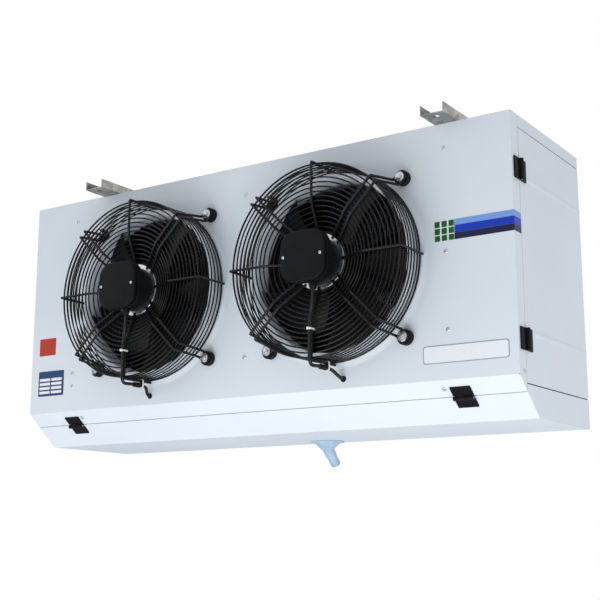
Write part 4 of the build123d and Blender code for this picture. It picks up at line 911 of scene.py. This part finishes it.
class CoolerScrews(bpy.types.Operator):
    """Screws of the casing, rails, caps, doors and pan."""
    bl_idname = "cooler.screws"
    bl_label = "Screws"

    def execute(self, context):
        zinc, up = finish("zinc_plated_steel"), Vector((0, 0, 1))
        parts = [put(pan_head(4.4, 2.0), facing(*casing_screw_place(low, high)))
                 for low, high in islands("panel_screws")]
        piece("casing_screw_heads", parts, zinc, replaces=["panel_screws"])
        parts = []
        for low, high in islands("rail_bolts"):
            foot = ((low.x + high.x) / 2, (low.y + high.y) / 2, high.z - 0.002)
            parts.append(put(pan_head(6.8, 2.0), facing(foot, up)))
        piece("rail_bolt_heads", parts, zinc, replaces=["rail_bolts"])
        parts = [put(pan_head(3.4, 2.0), fan_place(side) @ at(x, 0, CAP_FRONT - 0.1))
                 for side in SIDES for x in (-CAP_SCREW, CAP_SCREW)]
        piece("lid_screw_heads", parts, zinc, replaces=["cap_screws"])
        for name in ("door_lock_screws", "pan_lock_screws"):
            parts = []
            for low, high in islands(name):
                foot = ((low.x + high.x) / 2, high.y - 0.004, (low.z + high.z) / 2)
                place = at(*foot) @ turned(-90, "X") @ MILLI
                parts.append(put(pan_head(5.4, 4.0), place))
                parts.append(put(solid_of_turn([(1.7, -5.4), (1.7, 0.4)], 12), place))
            piece(name + "_turned", parts, finish("blackened_screw_steel"), replaces=[name])
        return {"FINISHED"}


class CoolerHinges(bpy.types.Operator):
    """Hinge leaves with rounded edges, and steel pins."""
    bl_idname = "cooler.hinges"
    bl_label = "Hinges"

    def execute(self, context):
        black = finish("moulded_black_polyamide")
        edge = in_mm(context.scene.cooler_sheet.leaf_edge)
        bodies = {"left_door_leaves": "left_door", "right_door_leaves": "right_door",
                  "door_frame_leaves": "casing", "pan_hinge_leaves": "drain_tray",
                  "pan_frame_leaves": "casing"}
        for name, body in bodies.items():
            refine(name, black, body, edge, 3)
        for name in ("door_hinge_pins", "pan_hinge_pins"):
            refine(name, finish("bright_stainless"), "casing", 0.3)
        return {"FINISHED"}


def bars(node, radius, sides, edge=0.0):
    """A round bar along X, by its radius in metres, for each solid of a node."""
    parts = []
    for low, high in islands(node):
        bar = solid_of_turn([(radius, 0), (radius, high.x - low.x)], sides, edge)
        place = at(low.x, (low.y + high.y) / 2, (low.z + high.z) / 2) @ turned(90, "Y")
        parts.append(put(bar, place))
    return parts


def return_bend(low, high, tube):
    """A half ring of tube on the end plates, by its box and the tube's radius in metres."""
    upright = high.z - low.z > high.y - low.y
    centre = (low + high) / 2
    reach = (high.z - low.z if upright else high.y - low.y) / 2 - tube
    way = -1 if centre.x < (PANEL_LEFT + PANEL_RIGHT) / 2 else 1
    bm = bmesh.new()
    made = bmesh.ops.create_circle(bm, radius=tube, segments=16, cap_ends=True)
    bmesh.ops.transform(bm, matrix=at(reach, 0, 0), verts=made["verts"])
    spin = bmesh.ops.spin(bm, geom=bm.verts[:] + bm.edges[:] + bm.faces[:], cent=(0, 0, 0),
                          axis=(0, 1, 0), angle=-pi, steps=16)
    if not spin["geom_last"]:
        raise RuntimeError("no bend")
    merged(bm)
    stand = turned(90 * way, "Y")
    if not upright:
        stand = turned(90, "X") @ stand
    return put(bm, at(high.x if way < 0 else low.x, centre.y, centre.z) @ stand)


class CoolerCoil(bpy.types.Operator):
    """Fins, coil tubes, bends and defrost rods."""
    bl_idname = "cooler.coil"
    bl_label = "Finned coil"

    def execute(self, context):
        sizes = context.scene.cooler_coil
        copper = finish("drawn_copper")
        low, high = corners("fin_pack")
        count = int((high.x - low.x) / sizes.fin_pitch)
        pitch = (high.x - low.x - sizes.fin) / count
        fins = []
        for i in range(count + 1):
            x = low.x + i * pitch
            fins.append(block((x, low.y, low.z), (x + sizes.fin, high.y, high.z)))
        piece("thin_fins", fins, finish("rolled_aluminium_fin"), replaces=["fin_pack"])
        piece("round_coil_tubes", bars("coil_tubes", sizes.tube / 2, 20), copper, replaces=["coil_tubes"])
        bends = [return_bend(low, high, sizes.tube / 2) for low, high in islands("return_bends")]
        piece("smooth_return_bends", bends, copper, replaces=["return_bends"])
        piece("defrost_rods", bars("defrost_heaters", 4.1 * MM, 16, 0.6 * MM), finish("bright_stainless"),
              replaces=["defrost_heaters"])
        return {"FINISHED"}


class CoolerPiping(bpy.types.Operator):
    """Suction header and line, distributor, feeders and liquid line."""
    bl_idname = "cooler.piping"
    bl_label = "Piping"

    def execute(self, context):
        copper = finish("drawn_copper")
        back = turned(-90, "X")
        low, high = corners("suction_header")
        depth, radius, run = (high.y + low.y) / 2, (high.y - low.y) / 2, high.z - low.z
        x = high.x - radius
        header = [(radius * 0.7, 0), (radius, 0.006), (radius, run - 0.006), (radius * 0.7, run)]
        parts = [put(solid_of_turn(header, 40, 0.002), at(x, depth, low.z))]
        row = [pair for pair in islands("coil_tubes") if abs((pair[0].y + pair[1].y) / 2 - depth) < 0.002]
        for first, last in sorted(row, key=lambda pair: pair[0].z)[1::2]:
            stub = solid_of_turn([(0.00795, 0), (0.00795, x - last.x + 0.0005)], 20)
            place = at(last.x - 0.0005, depth, (first.z + last.z) / 2) @ turned(90, "Y")
            parts.append(put(stub, place))
        piece("round_suction_header", parts, copper, replaces=["suction_header"])

        low, high = corners("suction_line")
        run = high.y - low.y
        pipe = [(0.0128, run - 0.02), (0.0128, run), (0.014, run), (0.014, run - 0.0255),
                (0.0153, run - 0.0262), (0.0153, run - 0.0278), (0.014, run - 0.0285),
                (0.014, 0.0), (0.0, 0.0), (0.0, run - 0.02)]
        place = at((low.x + high.x) / 2, low.y, (low.z + high.z) / 2) @ back
        piece("suction_pipe", [put(spun(pipe, 40), place)], copper, replaces=["suction_line"])

        low, high = corners("liquid_distributor")
        x, y, foot, rise = (low.x + high.x) / 2, (low.y + high.y) / 2, low.z, high.z - low.z
        cone = [(0.0066, 0), (0.0072, 0.004), (0.0135, rise - 0.010), (0.0139, rise - 0.002),
                (0.0128, rise)]
        piece("turned_distributor", [put(solid_of_turn(cone, 40, 0.0004), at(x, y, foot))],
              finish("turned_brass"), replaces=["liquid_distributor"])

        low, high = corners("liquid_line")
        level, bend = low.z + 0.0075, 0.013
        route = [(x, y, foot), (x, y, level + bend), (x, y, level), (x, y + bend, level),
                 (x, high.y - 0.002, level)]
        bead = [(0.006, 0), (0.0074, 0.0005), (0.0074, 0.0018), (0.006, 0.0023)]
        mouth = [(0.0048, -0.016), (0.0048, 0), (0.006, 0), (0.006, -0.02), (0, -0.02), (0, -0.016)]
        parts = [tube([[Vector(point) for point in route]], 0.00598, 10, 5),
                 put(solid_of_turn(bead, 28), at(x, high.y - 0.0283, level) @ back),
                 put(spun(mouth, 28), at(x, high.y, level) @ back)]
        piece("liquid_pipe", parts, copper, replaces=["liquid_line"])
        refine("feeder_tubes", copper, "casing", 0.4, 2)

        parts = []
        for low, high in islands("pipe_sleeves"):
            outer, run = (high.x - low.x) / 2, high.y - low.y
            inner = outer - 0.003
            ring = [(inner, 0), (outer - 0.0006, 0), (outer, 0.0006), (outer, run - 0.0012),
                    (outer - 0.0012, run), (inner, run)]
            place = at((low.x + high.x) / 2, low.y, (low.z + high.z) / 2) @ back
            parts.append(put(spun(ring, 32, loop=True), place))
        piece("rubber_pipe_sleeves", parts, finish("moulded_rubber"), replaces=["pipe_sleeves"])
        return {"FINISHED"}


class CoolerDrain(bpy.types.Operator):
    """Drain spout and its nut."""
    bl_idname = "cooler.drain"
    bl_label = "Drain spout"

    def execute(self, context):
        plastic = finish("moulded_blue_grey_pvc")
        low, high = corners("drain_locknut")
        x, y = (low.x + high.x) / 2, (low.y + high.y) / 2
        floor = corners("drain_pan")[0].z
        place = at(x, y, floor) @ MILLI
        cup = [(8.5, 9.0), (14.0, 9.0), (14.8, 8.4), (14.8, -0.02), (37.6, -0.05), (38.5, -0.8),
               (38.5, -2.4), (37.6, -3.0), (29.6, -3.2), (28.0, -4.4), (14.2, -18.6), (11.6, -20.0),
               (8.5, -20.0)]
        parts = [put(spun(cup, 56, loop=True), place)]
        for angle in range(0, 360, 45):
            rib = block((12, -0.9, -17), (30, 0.9, -3.0), 0.3)
            for vert in rib.verts:
                if vert.co.z < -10 and vert.co.x > 20:
                    vert.co.x = 16.0
            parts.append(put(rib, place @ turned(angle + 22.5, "Z")))
        tilt = place @ at(0, 0, -14.35) @ turned(45, "X")
        pipe = [(8.5, -49.8), (11.0, -49.8), (11.3, -49.4), (11.3, -24.4), (12.0, -24.0), (12.4, -23.6),
                (12.4, -3.0), (8.5, -3.0)]
        parts.append(put(spun(pipe, 48, loop=True), tilt))
        ball = [(0.001, 12.0), (4.6, 11.1), (8.5, 8.5), (11.1, 4.6), (12.0, 0), (12.4, -4.0), (8.6, -4.0)]
        parts.append(put(spun(ball, 40), tilt))
        piece("moulded_drain_spout", parts, plastic, "drain_tray", replaces=["drain_spout"])
        refine("drain_locknut", plastic, "drain_tray", 0.8, 3)
        return {"FINISHED"}


class CoolerElectrics(bpy.types.Operator):
    """Terminal box in the service bay, and the motor bearings."""
    bl_idname = "cooler.electrics"
    bl_label = "Terminal box"

    def execute(self, context):
        refine("terminal_box", finish("moulded_grey_abs"), "casing", 1.0, 3)
        refine("terminal_lid", finish("moulded_grey_abs"), "casing", 0.8, 3)
        dress("motor_bearings", finish("bright_stainless"))
        return {"FINISHED"}


def flat_plate(x0, x1, z0, z1, corner, thick=0.5):
    """A thin plate on the front face, by millimetres from the casing's left and top."""
    bm = slab(x1 - x0, z1 - z0, corner, 0.0, thick)
    centre = (PANEL_LEFT + (x0 + x1) / 2 * MM, PANEL_FRONT, PANEL_TOP - (z0 + z1) / 2 * MM)
    return put(bm, at(*centre) @ turned(90, "X") @ MILLI)


def side_plate(y0, y1, z0, z1, thick=0.5):
    """A thin plate on the right side return, by millimetres behind the front and below the top."""
    low = (PANEL_RIGHT - 0.0001, PANEL_FRONT + y0 * MM, PANEL_TOP - z1 * MM)
    high = (PANEL_RIGHT + thick * MM, PANEL_FRONT + y1 * MM, PANEL_TOP - z0 * MM)
    return block(low, high)


class CoolerLabels(bpy.types.Operator):
    """Plain bands and blank plates on the front face."""
    bl_idname = "cooler.labels"
    bl_label = "Bands and plates"

    def execute(self, context):
        colours = context.scene.cooler_labels
        bands = (("sky_band", colours.sky, 196, 208), ("middle_band", colours.mid, 208, 223),
                 ("navy_band", colours.navy, 223, 236))
        for name, tone, z0, z1 in bands:
            front = flat_plate(1128, 1250.4, z0 + 0.4, z1, 0.1)
            piece(name, [front, side_plate(-0.5, 31.0, z0 + 0.4, z1)], printed_vinyl(name, tone[:]))
        blocks = [flat_plate(1086 + i * 15, 1097 + i * 15, z0, z1, 1.0) for i in range(3)
                  for z0, z1 in ((197, 208.5), (211, 222.5), (225, 236))]
        piece("green_blocks", blocks, printed_vinyl("green", colours.green[:]))
        piece("blank_name_plate_rim", [flat_plate(1055, 1232, 437, 472, 6.0, 0.4)],
              printed_vinyl("grey", linear("#9aa1a9")))
        plates = [flat_plate(1057, 1230, 439, 470, 5.0, 0.7)]
        plates += [flat_plate(x, x + 34, z, z + 6.5, 1.0, 0.9) for x in (29, 67)
                   for z in (422, 432, 442, 452)]
        piece("blank_name_plates", plates, printed_vinyl("white", linear("#eef1f4")))
        piece("red_plate", [flat_plate(24, 77, 326, 367, 2.0)],
              printed_vinyl("red", colours.red[:]))
        piece("data_plate", [flat_plate(25, 107, 405, 464, 2.0, 0.6)],
              printed_vinyl("blue", colours.blue[:]))
        return {"FINISHED"}


def area_light(name, place, target, size, power):
    """A large soft light aimed at a point."""
    light = bpy.data.lights.new(name, "AREA")
    light.shape = "RECTANGLE"
    light.size, light.size_y = size
    light.energy = power
    obj = bpy.data.objects.new(name, light)
    obj.location = place
    way = Vector(target) - Vector(place)
    obj.rotation_euler = way.to_track_quat("-Z", "Y").to_euler()
    bpy.context.scene.collection.objects.link(obj)


class CoolerStage(bpy.types.Operator):
    """Pale floor, white surroundings, soft lights and the camera."""
    bl_idname = "cooler.stage"
    bl_label = "Stage"

    def execute(self, context):
        sizes = context.scene.cooler_stage
        scene = context.scene
        bm = bmesh.new()
        bmesh.ops.create_grid(bm, x_segments=1, y_segments=1, size=30.0)
        bmesh.ops.translate(bm, vec=(0, 0, sizes.floor), verts=bm.verts[:])
        mesh = bpy.data.meshes.new("stage_floor")
        bm.to_mesh(mesh)
        bm.free()
        material, tree, shader = surface("painted_floor", linear("#eceff2"), 0.6)
        mottled(tree, shader, grain(tree, 900.0), linear("#e9ecef"), linear("#eef1f4"))
        path = node(tree, "ShaderNodeLightPath")
        glow = node(tree, "ShaderNodeEmission")
        glow.inputs["Color"].default_value = (1, 1, 1, 1)
        mix = node(tree, "ShaderNodeMixShader", [(path.outputs["Is Camera Ray"], 0),
                                                 (shader.outputs[0], 1), (glow.outputs[0], 2)])
        tree.links.new(mix.outputs[0], tree.nodes["Material Output"].inputs["Surface"])
        mesh.materials.append(material)
        floor = bpy.data.objects.new("stage_floor", mesh)
        scene.collection.objects.link(floor)

        world = bpy.data.worlds.new("white_surroundings")
        scene.world = world
        world.use_nodes = True
        tree = world.node_tree
        tree.nodes.clear()
        path = node(tree, "ShaderNodeLightPath")
        seen = node(tree, "ShaderNodeMath", [(path.outputs["Is Camera Ray"], 0),
                                             (path.outputs["Is Transmission Ray"], 1)], operation="ADD")
        glossy = node(tree, "ShaderNodeMath", [(path.outputs["Is Glossy Ray"], 0)], operation="MULTIPLY")
        glossy.inputs[1].default_value = 0.9
        total = node(tree, "ShaderNodeMath", [(seen.outputs[0], 0), (glossy.outputs[0], 1)],
                     operation="ADD", use_clamp=True)
        soft = node(tree, "ShaderNodeBackground")
        soft.inputs["Color"].default_value = linear("#f1f5fa")
        soft.inputs["Strength"].default_value = sizes.ambient
        white = node(tree, "ShaderNodeBackground")
        white.inputs["Color"].default_value = (1, 1, 1, 1)
        white.inputs["Strength"].default_value = 1.0
        mix = node(tree, "ShaderNodeMixShader", [(total.outputs[0], 0), (soft.outputs[0], 1),
                                                 (white.outputs[0], 2)])
        node(tree, "ShaderNodeOutputWorld", [(mix.outputs[0], "Surface")])

        area_light("low_light", (0.1, -1.9, -2.2), (-0.05, -0.1, -0.45), (2.8, 1.4), sizes.below)
        area_light("key_light", (-2.4, -2.6, 0.6), (0, -0.15, -0.3), (1.8, 1.8), sizes.key)
        area_light("side_light", (2.5, -0.3, -2.0), (0.4, 0, -0.5), (1.8, 1.8), sizes.side)

        camera = bpy.data.cameras.new("camera")
        camera.sensor_width = 36.0
        camera.lens = CAMERA_LENS
        camera.clip_end = 200.0
        eye = bpy.data.objects.new("camera", camera)
        eye.location = CAMERA_PLACE
        eye.rotation_euler = CAMERA_TURN
        scene.collection.objects.link(eye)
        scene.camera = eye
        scene.view_settings.view_transform = "Standard"
        return {"FINISHED"}


class CoolerPanel(bpy.types.Panel):
    """Lists the pieces of the unit cooler and their settings."""
    bl_idname = "VIEW3D_PT_unit_cooler"
    bl_label = "Unit Cooler"
    bl_space_type = "VIEW_3D"
    bl_region_type = "UI"
    bl_category = "Unit Cooler"

    def draw(self, context):
        for kind in OPERATORS:
            self.layout.operator(kind.bl_idname)
        for name in SETTINGS:
            box = self.layout.box()
            group = getattr(context.scene, name)
            for key in group.bl_rna.properties.keys():
                if key not in ("rna_type", "name"):
                    box.prop(group, key)


SETTINGS = {
    "cooler_sheet": CoolerSheetSettings, "cooler_guard": CoolerGuardSettings,
    "cooler_fan": CoolerFanSettings, "cooler_coil": CoolerCoilSettings,
    "cooler_labels": CoolerLabelSettings, "cooler_stage": CoolerStageSettings,
}
OPERATORS = (
    CoolerStage, CoolerPanels, CoolerGalvanised, CoolerNozzles, CoolerGuards, CoolerGuardFixings,
    CoolerMotors, CoolerImpellers, CoolerCables, CoolerScrews, CoolerHinges, CoolerCoil,
    CoolerPiping, CoolerDrain, CoolerElectrics, CoolerLabels,
)


def register():
    for kind in list(SETTINGS.values()) + list(OPERATORS) + [CoolerPanel]:
        bpy.utils.register_class(kind)
    for name, kind in SETTINGS.items():
        setattr(bpy.types.Scene, name, bpy.props.PointerProperty(type=kind))


def unregister():
    for name in SETTINGS:
        delattr(bpy.types.Scene, name)
    for kind in [CoolerPanel] + list(OPERATORS)[::-1] + list(SETTINGS.values())[::-1]:
        bpy.utils.unregister_class(kind)


def main():
    register()
    for kind in OPERATORS:
        section, name = kind.bl_idname.split(".")
        getattr(getattr(bpy.ops, section), name)()


if __name__ == "__main__":
    main()
